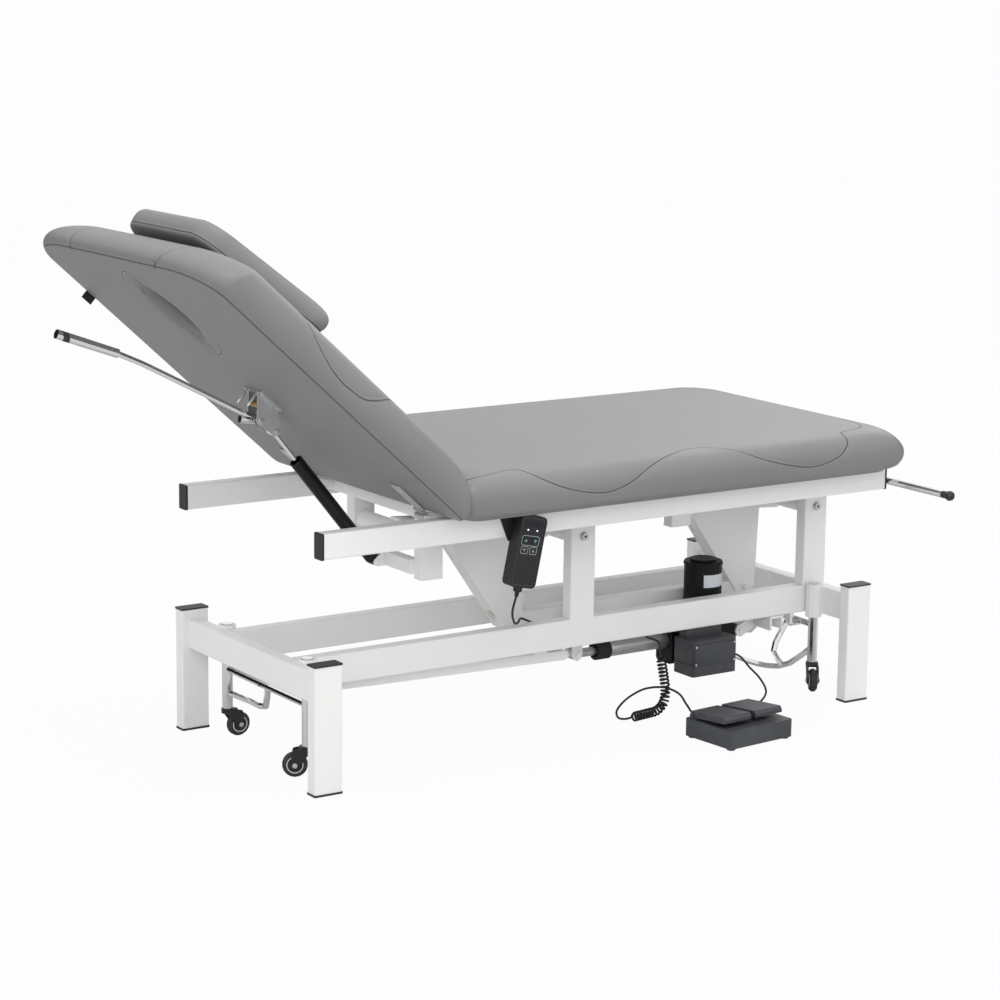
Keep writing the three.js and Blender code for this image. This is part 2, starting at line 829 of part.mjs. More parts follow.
// Cushions
// A cushion's outline in plan, drawn in by an inset. The corners grow rounder as it draws in.
function superOutline(low, high, wide, cornersLow, cornersHigh, perSide, inset = 0) {
  const dots = [];
  const x0 = low + inset;
  const x1 = high - inset;
  const half = wide - inset;
  const grown = (radius) => Math.max(cushion.seam, radius + inset * cornerGrowShare);
  const quarter = (cx, cy, rx, ry, from) => {
    for (let i = 0; i <= sides.pad; i += 1) {
      const a = from + (turn.square * i) / sides.pad;
      dots.push([cx + rx * Math.cos(a), cy + ry * Math.sin(a)]);
    }
  };
  const run = (ax, ay, bx, by, count) => {
    for (let i = 1; i < count; i += 1) {
      dots.push([ax + ((bx - ax) * i) / count, ay + ((by - ay) * i) / count]);
    }
  };
  const [lx, ly] = cornersLow.map(grown);
  const [hx, hy] = cornersHigh.map(grown);
  quarter(x1 - hx, -half + hy, hx, hy, -turn.square);
  run(x1, -half + hy, x1, half - hy, sides.pad);
  quarter(x1 - hx, half - hy, hx, hy, 0);
  run(x1 - hx, half, x0 + lx, half, perSide);
  quarter(x0 + lx, half - ly, lx, ly, turn.square);
  run(x0, half - ly, x0, -half + ly, sides.pad);
  quarter(x0 + lx, -half + ly, lx, ly, 2 * turn.square);
  run(x0 + lx, -half, x1 - hx, -half, perSide);
  return dots;
}

// A closed pad over a plan. Each ring of the side follows the outline, drawn in by its inset,
// and the seam ring climbs and falls along the two long sides.
function pad({ plan, midX, rings, crown }) {
  const outline = plan(0);
  const count = outline.length;
  const spots = [];
  rings.forEach((ring) => {
    outline.forEach((dot, i) => {
      const { inset, z } = ring(dot[0], dot[1]);
      const [x, y] = plan(inset)[i];
      spots.push([x, y, z]);
    });
  });
  const last = rings.length - 1;
  const shrinkShares = [0.66, 0.33];
  const liftShares = [0.7, 0.94];
  shrinkShares.forEach((share, k) => {
    for (let i = 0; i < count; i += 1) {
      const [x, y, z] = spots[last * count + i];
      spots.push([midX + (x - midX) * share, y * share, z + crown * liftShares[k]]);
    }
  });
  const faces = [];
  const total = rings.length + shrinkShares.length;
  for (let r = 0; r < total - 1; r += 1) {
    for (let i = 0; i < count; i += 1) {
      const j = (i + 1) % count;
      const a = r * count + i;
      const b = r * count + j;
      faces.push(a, b, b + count, a, b + count, a + count);
    }
  }
  const low = spots.length;
  spots.push([midX, 0, spots[0][2]]);
  const high = spots.length;
  spots.push([midX, 0, spots[last * count][2] + crown]);
  for (let i = 0; i < count; i += 1) {
    const j = (i + 1) % count;
    faces.push(low, j, i);
    faces.push(high, (total - 1) * count + i, (total - 1) * count + j);
  }
  const geometry = new THREE.BufferGeometry();
  geometry.setAttribute("position", new THREE.Float32BufferAttribute(spots.flat(), 3));
  geometry.setIndex(faces);
  return solid(geometry);
}

// Side profile shares: [share of the side's height, inset in shares of it].
const bulgeShares = [
  [0, 0.0],
  [0.15, -0.02],
  [0.45, 0.02],
  [0.75, 0.14],
  [1, 0.36],
];
function bulge(share) {
  for (let i = 1; i < bulgeShares.length; i += 1) {
    const [b, v] = bulgeShares[i];
    const [a, u] = bulgeShares[i - 1];
    if (share <= b) return u + ((v - u) * (share - a)) / (b - a);
  }
  return bulgeShares[bulgeShares.length - 1][1];
}

// The wave of the seam: shares of the side's height at shares of the cushion's length.
const seatWaveShares = [
  [0, 0.5],
  [0.05, 0.62],
  [0.13, 0.58],
  [0.26, 0.36],
  [0.38, 0.6],
  [0.49, 0.97],
  [0.6, 0.9],
  [0.78, 0.5],
  [0.9, 0.62],
  [1, 0.9],
];
const backWaveShares = [
  [0, 0.45],
  [0.15, 0.5],
  [0.3, 0.85],
  [0.42, 0.92],
  [0.6, 0.62],
  [0.8, 0.5],
  [1, 0.55],
];
function wave(table, share) {
  for (let i = 1; i < table.length; i += 1) {
    const [b, v] = table[i];
    const [a, u] = table[i - 1];
    if (share <= b) {
      const t = (share - a) / (b - a);
      const soft = (1 - Math.cos(Math.PI * t)) / 2;
      return u + (v - u) * soft;
    }
  }
  return table[table.length - 1][1];
}

function padRings(x0, x1, low, side, top, boardIn, table) {
  const seamAt = (x) => wave(table, Math.min(1, Math.max(0, (x - x0) / (x1 - x0))));
  const ring = (belowShare, dig) => (x) => {
    const s = seamAt(x);
    const groove = cushion.seamWide / side;
    let share = s;
    if (belowShare < 0) share = (s - groove) * (1 + belowShare);
    if (belowShare > 0) share = s + groove + (1.02 - s - groove) * (belowShare - groove);
    share = Math.min(1.02, Math.max(0, share));
    return { inset: bulge(share) * side + dig, z: low + share * side };
  };
  const boardRing = (z) => () => ({ inset: boardIn, z });
  return [
    boardRing(low - cushion.board),
    boardRing(low),
    ring(-1, 0),
    ring(-0.6, 0),
    ring(-0.3, 0),
    ring(-0.001, 0),
    ring(0, cushion.seam),
    ring(cushion.seamWide / side + 0.001, 0),
    ring(0.55, 0),
    ring(1, 0),
    () => ({ inset: side * 0.6, z: low + top - (top - side) * 0.4 }),
    () => ({ inset: side * 1.05, z: low + top }),
  ];
}

const seatPlan = (inset) =>
  superOutline(
    seat.head,
    seat.foot,
    cushion.halfWide,
    [seat.round, seat.round],
    [seat.nose, seat.nose],
    sides.bend * 2,
    inset,
  );
const seatBody = pad({
  plan: seatPlan,
  midX: (seat.head + seat.foot) / 2,
  rings: padRings(
    seat.head,
    seat.foot,
    seat.low + cushion.board,
    seat.side,
    seat.top,
    cushion.boardIn,
    seatWaveShares,
  ),
  crown: seat.crown,
});
add(table, "seat_cushion", seatBody, "vinyl");

// The backrest is laid flat in its own frame, its hinge axis at the origin, and then tipped.
const backrest = group(table, hinge.x, 0, hinge.z);
backrest.rotation.y = recline * turn.degree;

const backLow = hinge.below + back.lift;
const backPlan = (inset) =>
  superOutline(
    -back.head,
    -back.hip,
    cushion.halfWide,
    [back.cornerX, back.cornerY],
    [seat.round, seat.round],
    sides.bend * 2,
    inset,
  );
const backFlat = pad({
  plan: backPlan,
  midX: -(back.hip + back.head) / 2,
  rings: padRings(
    -back.head,
    -back.hip,
    backLow + cushion.board,
    back.side,
    back.top,
    cushion.backIn,
    backWaveShares,
  ),
  crown: back.crown,
});

// At the hip the cushion is pressed flat against the seat, so its end stands upright when
// the backrest is tipped to its rest angle.
const hipGap = gap * 8;
const hipLong = back.top * 2;
const hipX = (seat.head - hipGap - hinge.x) * Math.cos(recline * turn.degree);
const hipCut = block(0, hipLong * 2, -base.width, base.width, -hipLong * 2, hipLong * 2)
  .rotate([0, -recline, 0])
  .translate([hipX, 0, -(seat.head - hipGap - hinge.x) * -Math.sin(recline * turn.degree)]);
const slotMid = (slot.from + slot.to) / 2;
const slotHalf = (slot.to - slot.from) / 2;
const slotSides = sides.bend * 3;
function slotShape() {
  const dots = Array.from({ length: slotSides }, (_, i) => {
    const a = (turn.full * i) / slotSides;
    return new THREE.Vector2(-slotMid + slotHalf * Math.cos(a), slot.half * Math.sin(a));
  });
  return new THREE.Shape(dots);
}
const slotCut = prism("z", slotShape(), -overrun, back.top * 2);
add(backrest, "back_cushion", cut(backFlat, hipCut, slotCut), "vinyl");

// Pillow on the front of the backrest.
const pillowLow = backLow + cushion.board + back.top + back.crown + gap;
function pillowPlan(inset) {
  const plain = superOutline(
    -pillow.to,
    -pillow.from,
    pillow.half,
    [pillow.round, pillow.round * 2],
    [pillow.round, pillow.round],
    sides.bend,
    inset,
  );
  return plain.map(([x, y]) => {
    const share = (x + pillow.to) / (pillow.to - pillow.from);
    return [x, (y * (pillow.headHalf + (pillow.half - pillow.headHalf) * share)) / pillow.half];
  });
}
const pillowBody = pad({
  plan: pillowPlan,
  midX: -(pillow.from + pillow.to) / 2,
  rings: [
    () => ({ inset: pillow.round / 2, z: pillowLow }),
    () => ({ inset: pillow.round / 8, z: pillowLow + pillow.thick * 0.16 }),
    () => ({ inset: 0, z: pillowLow + pillow.thick * 0.42 }),
    () => ({ inset: pillow.round / 10, z: pillowLow + pillow.thick * 0.5 }),
    () => ({ inset: 0, z: pillowLow + pillow.thick * 0.58 }),
    () => ({ inset: pillow.round / 4, z: pillowLow + pillow.thick * 0.86 }),
    () => ({ inset: pillow.round, z: pillowLow + pillow.thick }),
  ],
  crown: pillow.crown / 2,
});
add(backrest, "pillow", pillowBody, "vinyl");

[
  ["hinge_strap_near", -1],
  ["hinge_strap_far", 1],
].forEach(([name, way]) => {
  const y = way * strapY;
  const half = strap.wide / 2;
  const top = backLow - gap;
  const mid = top - strap.thick / 2;
  const leaf = bar(
    "x",
    -strap.to,
    -hinge.knuckle,
    y,
    mid,
    strap.wide,
    strap.thick,
    strap.thick / 3,
  );
  const step = block(
    -hinge.knuckle - strap.thick,
    0,
    y - half,
    y + half,
    hinge.knuckle / 2 - strap.thick / 2,
    mid,
  );
  const knuckle = across(0, 0, y - half, y + half, hinge.knuckle / 2);
  const screws = [strap.screwA, strap.screwB].map((s) =>
    upright(-s, y, mid - strap.thick, mid, strap.screw / 2, sides.small),
  );
  const bore = across(0, 0, y - half - overrun, y + half + overrun, hinge.bore / 2, sides.small);
  add(backrest, name, cut(join(leaf, step, knuckle, ...screws), bore), "white");
});

// Gas spring, its bracket and the release lever
const tipped = recline * turn.degree;
function toBack(x, z) {
  const dx = x - hinge.x;
  const dz = z - hinge.z;
  return [
    dx * Math.cos(tipped) - dz * Math.sin(tipped),
    dx * Math.sin(tipped) + dz * Math.cos(tipped),
  ];
}
const gasTop = toBack(gas.topX, gas.topZ);
function gasBracket() {
  const top = backLow - gap;
  const base0 = bar(
    "z",
    top - bracket.thick,
    top,
    -(bracket.from + bracket.to) / 2,
    0,
    bracket.to - bracket.from,
    bracket.half * 2,
    tube.round,
  );
  const cheeks = [-1, 1].map((way) => {
    const a = way * bracket.inner;
    const b = a + way * bracket.cheek;
    return prism(
      "y",
      hullShape([
        [-bracket.from - bracket.thick, top - bracket.thick / 2, bracket.thick / 2],
        [-bracket.to + bracket.thick, top - bracket.thick / 2, bracket.thick / 2],
        [gasTop[0], gasTop[1], gasRod.eye],
        [-release.pivotS, release.pivotZ, gasRod.eye],
      ]),
      Math.min(a, b),
      Math.max(a, b),
    );
  });
  const reach = bracket.inner + bracket.cheek + overrun;
  return join(
    base0,
    ...cheeks,
    across(gasTop[0], gasTop[1], -reach, reach, bracket.pin / 2),
    across(-release.pivotS, release.pivotZ, -reach, reach, bracket.pin / 2),
  );
}
add(backrest, "gas_bracket", gasBracket(), "white");

const gasAngle = Math.atan2(gas.topZ - gas.footZ, gas.topX - gas.footX) / turn.degree;
const gasSpring = group(table, gas.footX, 0, gas.footZ);
gasSpring.rotation.y = -gasAngle * turn.degree;
const gasLong = Math.hypot(gas.topZ - gas.footZ, gas.topX - gas.footX);
const gasCylinder = cut(
  join(
    rod([gasTube.eye, 0, 0], [gasTube.length, 0, 0], gas.wide / 2, sides.fine),
    across(0, 0, -gasTube.eyeThick / 2, gasTube.eyeThick / 2, gasTube.eye - ear.play),
    rod([0, 0, 0], [gasTube.blind, 0, 0], gasTube.eye - ear.play * 2, sides.small),
  ),
  across(0, 0, -gas.wide, gas.wide, gasBar.pinBore / 2),
  rod([gasTube.blind, 0, 0], [gasTube.length + overrun, 0, 0], gas.bore / 2, sides.fine),
);
add(gasSpring, "gas_cylinder", gasCylinder, "black");
const gasRodBody = cut(
  join(
    rod([gasLong - gasRod.length, 0, 0], [gasLong, 0, 0], gasRod.wide / 2, sides.small),
    across(gasLong, 0, -gasRod.eyeThick / 2, gasRod.eyeThick / 2, gasRod.eye - ear.play),
  ),
  across(gasLong, 0, -gas.wide, gas.wide, gasBar.pinBore / 2),
);
add(gasSpring, "gas_rod", gasRodBody, "chrome");

function releaseLever() {
  const elbow = [-release.elbowS, 0, release.elbowZ];
  const tip = [-release.tipS, 0, release.tipZ];
  const along = new THREE.Vector3(...tip).sub(new THREE.Vector3(...elbow)).normalize();
  const gripFrom = along.clone().multiplyScalar(-handle.gripLong).add(new THREE.Vector3(...tip));
  const start = [-release.pivotS, 0, release.pivotZ];
  const end = [gripFrom.x - along.x * gap, 0, gripFrom.z - along.z * gap];
  const hub = across(
    -release.pivotS,
    release.pivotZ,
    -gasRod.eyeThick / 2,
    gasRod.eyeThick / 2,
    handle.hub - ear.play,
  );
  const knobStart = [-release.pivotS - handle.hub / 2, 0, release.pivotZ - handle.hub / 2];
  const knobEnd = [
    -release.pivotS - handle.hub / 2 - handle.knobLong,
    0,
    release.pivotZ - handle.hub / 2 - handle.knobDrop,
  ];
  return {
    lever: cut(
      join(
        sweep([start, elbow, end], handle.rod / 2, sides.small, sides.bend),
        hub,
        rod(knobStart, knobEnd, handle.knob / 2),
      ),
      across(-release.pivotS, release.pivotZ, -gas.wide, gas.wide, handle.bore / 2),
    ),
    grip: rod(
      [gripFrom.x, gripFrom.y, gripFrom.z],
      tip,
      handle.grip / 2 - ear.play,
      sides.round,
      handle.grip / 2,
    ),
  };
}
const releaseParts = releaseLever();
add(backrest, "release_lever", releaseParts.lever, "chrome");
add(backrest, "lever_grip", releaseParts.grip, "chrome");

// Hand control
const railFace = -upper.width / 2;
const handY = railFace - hand.out;
const handGroup = group(table, hand.x, handY, hand.z);
handGroup.rotation.y = hand.tilt * turn.degree;
const handFront = -hand.deep / 2;
function handBody() {
  const shell = bar("y", -hand.deep / 2, hand.deep / 2, 0, 0, hand.wide, hand.high, hand.round);
  const recess = bar(
    "y",
    handFront - overrun,
    handFront + handFace.sink,
    0,
    0,
    hand.wide - 2 * handFace.lip,
    hand.high - 2 * handFace.lip,
    hand.round - handFace.lip,
  );
  const wells = [-1, 1].map((way) =>
    bar(
      "y",
      handFront - overrun,
      handFront + handFace.sink * 3,
      way * handFace.keyAcross,
      handFace.keyUp,
      handFace.key + 2 * gap,
      handFace.key + 2 * gap,
      tube.round,
    ),
  );
  const boot = rod(
    [0, 0, -hand.high / 2 + overrun],
    [0, 0, -hand.high / 2 - relief.long],
    relief.wide / 2,
    sides.small,
    relief.tail / 2,
  );
  const collar = rod(
    [0, 0, -hand.high / 2 + overrun],
    [0, 0, -hand.high / 2 - relief.tail],
    relief.wide,
    sides.small,
    relief.wide,
  );
  return join(cut(shell, recess, ...wells), boot, collar);
}
add(handGroup, "hand_control", handBody(), "black");
[
  ["hand_button_up", -1],
  ["hand_button_down", 1],
].forEach(([name, way]) => {
  const floor = handFront + handFace.sink * 3 - gap;
  add(
    handGroup,
    name,
    bar(
      "y",
      handFront + handFace.sink - handFace.keyOut,
      floor - handFace.keyIn,
      way * handFace.keyAcross,
      handFace.keyUp,
      handFace.key,
      handFace.key,
      tube.round,
    ),
    "black",
  );
});

// The clip that the hand control hangs on, bent over the face of the rail.
const handBack = handY + hand.deep / 2;
function handClip() {
  const x = hand.x - hand.wide / 2 + clip.wide / 2 - clip.slope;
  const z = upper.top - tube.railHigh / 2;
  return prism(
    "y",
    hullShape([
      [x - clip.wide / 2, z + clip.high / 4, clip.thick],
      [x + clip.wide / 2, z + clip.high / 4, clip.thick],
      [x + clip.wide / 2, z - clip.high / 2, clip.thick],
      [x, z - clip.high / 2, clip.thick],
    ]),
    handBack + gap,
    railFace - gap,
  );
}
add(table, "hand_clip", handClip(), "black");

// Control box
function controlBox() {
  const top = box.low + box.high;
  const shell = bar(
    "z",
    box.low,
    top,
    box.x + box.long / 2,
    box.front + box.deep / 2,
    box.long,
    box.deep,
    box.round,
  );
  const line = (z) =>
    cut(
      bar(
        "z",
        z - boxPlate.groove / 2,
        z + boxPlate.groove / 2,
        box.x + box.long / 2,
        box.front + box.deep / 2,
        box.long + 2 * overrun,
        box.deep + 2 * overrun,
        box.round + overrun,
      ),
      bar(
        "z",
        z - boxPlate.groove,
        z + boxPlate.groove,
        box.x + box.long / 2,
        box.front + box.deep / 2,
        box.long - 2 * boxPlate.groove,
        box.deep - 2 * boxPlate.groove,
        box.round,
      ),
    );
  const hanger = block(
    box.x + boxPlate.lap,
    box.x + box.long - boxPlate.lap,
    -sideOuter + boxPlate.thick,
    -sideInner,
    top - boxPlate.thick,
    railLow - gap,
  );
  return join(cut(shell, line(box.low + box.high / 3)), hanger);
}
add(table, "control_box", controlBox(), "black");

// Foot switch
const footSwitch = group(table, pedalBox.x, pedalBox.y, 0);
footSwitch.rotation.z = pedalBox.turn * turn.degree;
const pedalX = pedalBox.long / 4;
const hingeY = pedalBox.deep / 2 - pedal.pin * 3;
const hingeZ = pedalBox.top + pedal.lift;
function pedalBase() {
  const shell = bar(
    "z",
    pedalBox.foot,
    pedalBox.top,
    0,
    0,
    pedalBox.long,
    pedalBox.deep,
    box.round,
  );
  const feet = [-1, 1].flatMap((sx) =>
    [-1, 1].map((sy) =>
      upright(
        (sx * pedalBox.long) / 2 - sx * pedal.rise,
        (sy * pedalBox.deep) / 2 - sy * pedal.rise,
        0,
        pedalBox.foot + overrun,
        pedal.lift,
        sides.small,
      ),
    ),
  );
  const ears = [-1, 1].flatMap((side) =>
    [-1, 1].map((way) => {
      const a = side * pedalX + way * (pedal.wide / 2 + ear.play);
      const b = a + way * pedal.play;
      return prism(
        "x",
        hullShape([
          [hingeY, hingeZ, pedal.pin],
          [hingeY, pedalBox.top, pedal.pin],
        ]),
        Math.min(a, b),
        Math.max(a, b),
      );
    }),
  );
  const pins = [-1, 1].map((side) => {
    const reach = pedal.wide / 2 + ear.play + pedal.play;
    return rod(
      [side * pedalX - reach, hingeY, hingeZ],
      [side * pedalX + reach, hingeY, hingeZ],
      pedal.pin / 2,
      sides.small,
    );
  });
  return join(shell, ...feet, ...ears, ...pins);
}
add(footSwitch, "foot_switch", pedalBase(), "black");
[
  ["foot_pedal_left", -1],
  ["foot_pedal_right", 1],
].forEach(([name, side]) => {
  const x = side * pedalX;
  const low = pedalBox.top + pedal.play;
  const body = prism(
    "x",
    new THREE.Shape([
      new THREE.Vector2(hingeY + pedal.pin, low),
      new THREE.Vector2(hingeY + pedal.pin, low + pedal.rise),
      new THREE.Vector2(hingeY - pedal.deep + pedal.pin, low + pedal.rise + pedal.lift),
      new THREE.Vector2(hingeY - pedal.deep, low + pedal.rise),
      new THREE.Vector2(hingeY - pedal.deep, low + pedal.lift),
    ]),
    x - pedal.wide / 2,
    x + pedal.wide / 2,
  );
  const bore = rod(
    [x - pedal.wide, hingeY, hingeZ],
    [x + pedal.wide, hingeY, hingeZ],
    pedal.bore / 2,
    sides.small,
  );
  add(footSwitch, name, cut(body, bore), "black");
});

// Castors
const stemLow = castorStem.low;
function castorYoke(way) {
  const x = way * castorX;
  const stems = [-1, 1].map((side) =>
    upright(x, side * castor.y, stemLow, castor.sleeveHigh + overrun, castor.stem / 2),
  );
  const cross = across(x, castorStem.barZ, -castor.y, castor.y, castorStem.bar / 2, sides.small);
  const wire = castorStem.wire / 2;
  const inside = x - (way * castor.sleeve) / 2;
  const lowZ = (stemLow * 3) / 2;
  const clearY = castor.y - (castor.sleeve * 3) / 2;
  const vee = sweep(
    [
      [x, castor.y, lowZ],
      [inside, castor.y / 2, lowZ - wire],
      [inside, castor.y / 4, lowZ - wire],
      [x, -wire, castorStem.barZ],
    ],
    wire,
    sides.wire,
    sides.bend,
  );
  const stop = upright(
    x - way * castor.sleeve,
    -castor.y + castor.sleeve,
    castorStem.barZ,
    railLow - gap,
    castor.stem / 2 - overrun,
  );
  const stopArm = rod(
    [x, -castor.y + castor.sleeve, castorStem.barZ],
    [x - way * castor.sleeve, -castor.y + castor.sleeve, castorStem.barZ],
    wire,
    sides.small,
  );
  const parts = [...stems, cross, vee];
  if (way > 0) {
    const tread = x - castor.sleeve;
    const low = castorStem.low / 2 + wire + overrun;
    parts.push(
      sweep(
        [
          [x, -castor.y, lowZ],
          [tread, -clearY, low + wire],
          [tread, clearY, low + wire],
          [x, castor.y, lowZ],
        ],
        wire,
        sides.wire,
        sides.bend * 2,
      ),
      sweep(
        [
          [x, -castor.y / 2, castorStem.barZ],
          [tread, -castor.y / 2 + wire, castorStem.barZ / 2],
          [tread, -clearY, low + wire],
        ],
        wire,
        sides.wire,
        sides.bend,
      ),
      stop,
      stopArm,
    );
  }
  return join(...parts);
}
add(table, "castor_yoke_head", castorYoke(-1), "chrome");
add(table, "castor_yoke_foot", castorYoke(1), "chrome");

const wheelZ = wheel.clear + wheel.wide / 2;
const forkTop = stemLow - gap;
const forkInner = wheel.tread / 2 + fork.play;
function forkBody() {
  const drop = forkTop - wheelZ;
  const hub = upright(0, 0, -fork.hubHigh, 0, fork.hub / 2, sides.round);
  const wide = forkInner + fork.plate;
  const crownBlock = prism(
    "y",
    hullShape([
      [0, -fork.hubHigh / 2, fork.hubHigh / 2],
      [fork.trail / 2, -fork.hubHigh / 2, fork.hubHigh / 2],
    ]),
    -wide,
    wide,
  );
  const plates = [-1, 1].map((way) => {
    const a = way * forkInner;
    const b = way * wide;
    return prism(
      "y",
      hullShape([
        [-fork.plate, -fork.hubHigh / 2, fork.hubHigh / 2],
        [fork.trail, -fork.hubHigh, fork.hubHigh / 2],
        [fork.trail, -drop, fork.nose],
      ]),
      Math.min(a, b),
      Math.max(a, b),
    );
  });
  const pin = across(fork.trail, -drop, -wide - fork.play, wide + fork.play, fork.pin / 2);
  const clear = across(
    fork.trail,
    -drop,
    -forkInner,
    forkInner,
    wheel.wide / 2 + fork.play,
    sides.fine,
  );
  return join(cut(join(hub, crownBlock), clear), ...plates, pin);
}
function wheelBody() {
  const half = wheel.tread / 2;
  const rim = wheel.wide / 2;
  const body = turned(
    [
      [wheel.bore / 2, -half + wheel.dish],
      [wheel.hub / 2, -half],
      [rim - wheel.edge, -half],
      [rim, -half + wheel.edge],
      [rim, half - wheel.edge],
      [rim - wheel.edge, half],
      [wheel.hub / 2, half],
      [wheel.bore / 2, half - wheel.dish],
      [wheel.bore / 2, -half + wheel.dish],
    ],
    sides.fine,
  );
  return body.translate([fork.trail, 0, wheelZ - forkTop]);
}
const forkShape = forkBody();
const wheelShape = wheelBody();
[
  ["head_near", -1, -1, castorTurn.headNear],
  ["head_far", -1, 1, castorTurn.headFar],
  ["foot_near", 1, -1, castorTurn.footNear],
  ["foot_far", 1, 1, castorTurn.footFar],
].forEach(([name, sx, sy, yaw]) => {
  const swivel = group(table, sx * castorX, sy * castor.y, forkTop);
  swivel.rotation.z = yaw * turn.degree;
  add(swivel, "fork_" + name, forkShape, "black");
  add(swivel, "wheel_" + name, wheelShape, "rubber");
});

// Leads
// Route points, as the leads lie.
const handTail = new THREE.Vector3(0, 0, -hand.high / 2 - relief.long - gap)
  .applyAxisAngle(new THREE.Vector3(0, 1, 0), hand.tilt * turn.degree)
  .add(new THREE.Vector3(hand.x, handY, hand.z));
const handRoute = [
  [handTail.x, handTail.y, handTail.z],
  [-251, -303, 315],
  [-225, -270, 282],
  [-165, -196, 258],
  [-110, -128, 245],
  [-62, -104, 225],
  [20, -102, 208],
  [130, -103, 196],
  [196, -107, 184],
  [214, -118, 163],
  [225, -142, 157],
  [226.6, -147.1, 150],
  [227.95, -147.97, 138.35],
];
const coilRoute = [
  [228, -148, 138],
  [231, -150, 112],
  [237, -151, 80],
  [240, -153, 50],
  [232, -158, 27],
  [212, -163, 14.2],
  [185, -167, 12.6],
  [155, -172, 12.6],
  [128, -177, 12.6],
];
const footRoute = [
  [127.66, -177.06, 12.6],
  [120.1, -178.5, 12.6],
  [110, -170, 13],
  [122, -142, 17],
  [150, -118, 24],
  [190, -100, 34],
  [232, -96, 43],
  [268, -112, 44],
  [284, -140, 36],
  [272, -185, 24],
  [252, -240, 15],
  [246, -285, 13],
];
const boxRoute = [
  [box.x + box.long + gap, -158, 107],
  [420, -158, 107],
  [434, -161, 99],
  [446, -175, 79],
  [450, -205, 62],
  [428, -256, 44],
  [386, -280, 30],
  [350, -286, 24],
  [318, -289, 22.5],
];
// Where a lead enters the back of the foot switch.
function entry(route, shareX) {
  const yaw = pedalBox.turn * turn.degree;
  const u = pedalBox.long * shareX;
  const v = pedalBox.deep / 2 + gap;
  const near = [
    pedalBox.x + u * Math.cos(yaw) - v * Math.sin(yaw),
    pedalBox.y + u * Math.sin(yaw) + v * Math.cos(yaw),
    (pedalBox.foot + pedalBox.top) / 2,
  ];
  const w = v + lead.wide;
  const square = [
    pedalBox.x + u * Math.cos(yaw) - w * Math.sin(yaw),
    pedalBox.y + u * Math.sin(yaw) + w * Math.cos(yaw),
    (pedalBox.foot + pedalBox.top) / 2,
  ];
  return [...route, square, near];
}
const entryShares = { hand: -0.1, box: 0.25 };
add(table, "hand_lead", sweep(handRoute, lead.wide / 2, sides.wire, leadSteps.hand), "rubber");
add(
  table,
  "foot_lead",
  sweep(entry(footRoute, entryShares.hand), lead.wide / 2, sides.wire, leadSteps.foot),
  "rubber",
);
add(
  table,
  "box_lead",
  sweep(entry(boxRoute, entryShares.box), lead.wide / 2, sides.wire, leadSteps.box),
  "rubber",
);

// The curly stretch: one unbroken helix about its route, straight for a wire's width at
// each end.
function curly() {
  const path = new THREE.CatmullRomCurve3(
    coilRoute.map((p) => new THREE.Vector3(...p)),
    false,
    "centripetal",
  );
  const count = lead.curls * lead.steps;
  const ringSides = 5;
  const centre = [];
  let side = new THREE.Vector3(1, 0, 0);
  const radius = lead.curl / 2 - lead.wire / 2;
  const straight = (lead.wire + lead.wire) / path.getLength();
  for (let i = 0; i <= count; i += 1) {
    const t = straight + ((1 - 2 * straight) * i) / count;
    const spot = path.getPointAt(t);
    const along = path.getTangentAt(t);
    side = side.clone().sub(along.clone().multiplyScalar(side.dot(along))).normalize();
    const up = along.clone().cross(side);
    const a = (turn.full * i) / lead.steps;
    const swell = Math.min(1, (i * 2) / lead.steps, ((count - i) * 2) / lead.steps);
    centre.push(
      spot
        .add(side.clone().multiplyScalar(radius * swell * Math.cos(a)))
        .add(up.multiplyScalar(radius * swell * Math.sin(a))),
    );
  }
  const first = path.getTangentAt(0);
  const last = path.getTangentAt(1);
  const head = path.getPointAt(0);
  const tail = path.getPointAt(1);
  centre[0] = head.clone().add(first.clone().multiplyScalar(lead.wire));
  centre.unshift(head.clone());
  centre[centre.length - 1] = tail.clone().sub(last.clone().multiplyScalar(lead.wire));
  centre.push(tail.clone());
  let least = Infinity;
  for (let i = 0; i < centre.length; i += 1) {
    for (let j = i + lead.steps - 2; j < centre.length; j += 1) {
      least = Math.min(least, centre[i].distanceTo(centre[j]) - lead.wire);
    }
  }
  console.log("least gap between the curls of the lead, mm: " + least.toFixed(2));
  const spots = [];
  let frame = new THREE.Vector3(0, 1, 0);
  centre.forEach((spot, i) => {
    const before = centre[Math.max(0, i - 1)];
    const after = centre[Math.min(centre.length - 1, i + 1)];
    const along = after.clone().sub(before).normalize();
    frame = frame.clone().sub(along.clone().multiplyScalar(frame.dot(along))).normalize();
    const up = along.clone().cross(frame);
    for (let k = 0; k < ringSides; k += 1) {
      const a = (turn.full * k) / ringSides;
      const dot = spot
        .clone()
        .add(frame.clone().multiplyScalar((lead.wire / 2) * Math.cos(a)))
        .add(up.clone().multiplyScalar((lead.wire / 2) * Math.sin(a)));
      spots.push(dot.x, dot.y, dot.z);
    }
  });
  const faces = [];
  const rings = centre.length;
  for (let r = 0; r < rings - 1; r += 1) {
    for (let k = 0; k < ringSides; k += 1) {
      const a = r * ringSides + k;
      const b = r * ringSides + ((k + 1) % ringSides);
      faces.push(a, b, b + ringSides, a, b + ringSides, a + ringSides);
    }
  }
  for (let k = 1; k < ringSides - 1; k += 1) {
    faces.push(0, k + 1, k);
    const l = (rings - 1) * ringSides;
    faces.push(l, l + k, l + k + 1);
  }
  const geometry = new THREE.BufferGeometry();
  geometry.setAttribute("position", new THREE.Float32BufferAttribute(spots, 3));
  geometry.setIndex(faces);
  return solid(geometry);
}
add(table, "curly_lead", curly(), "rubber");

export default table;
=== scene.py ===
import math

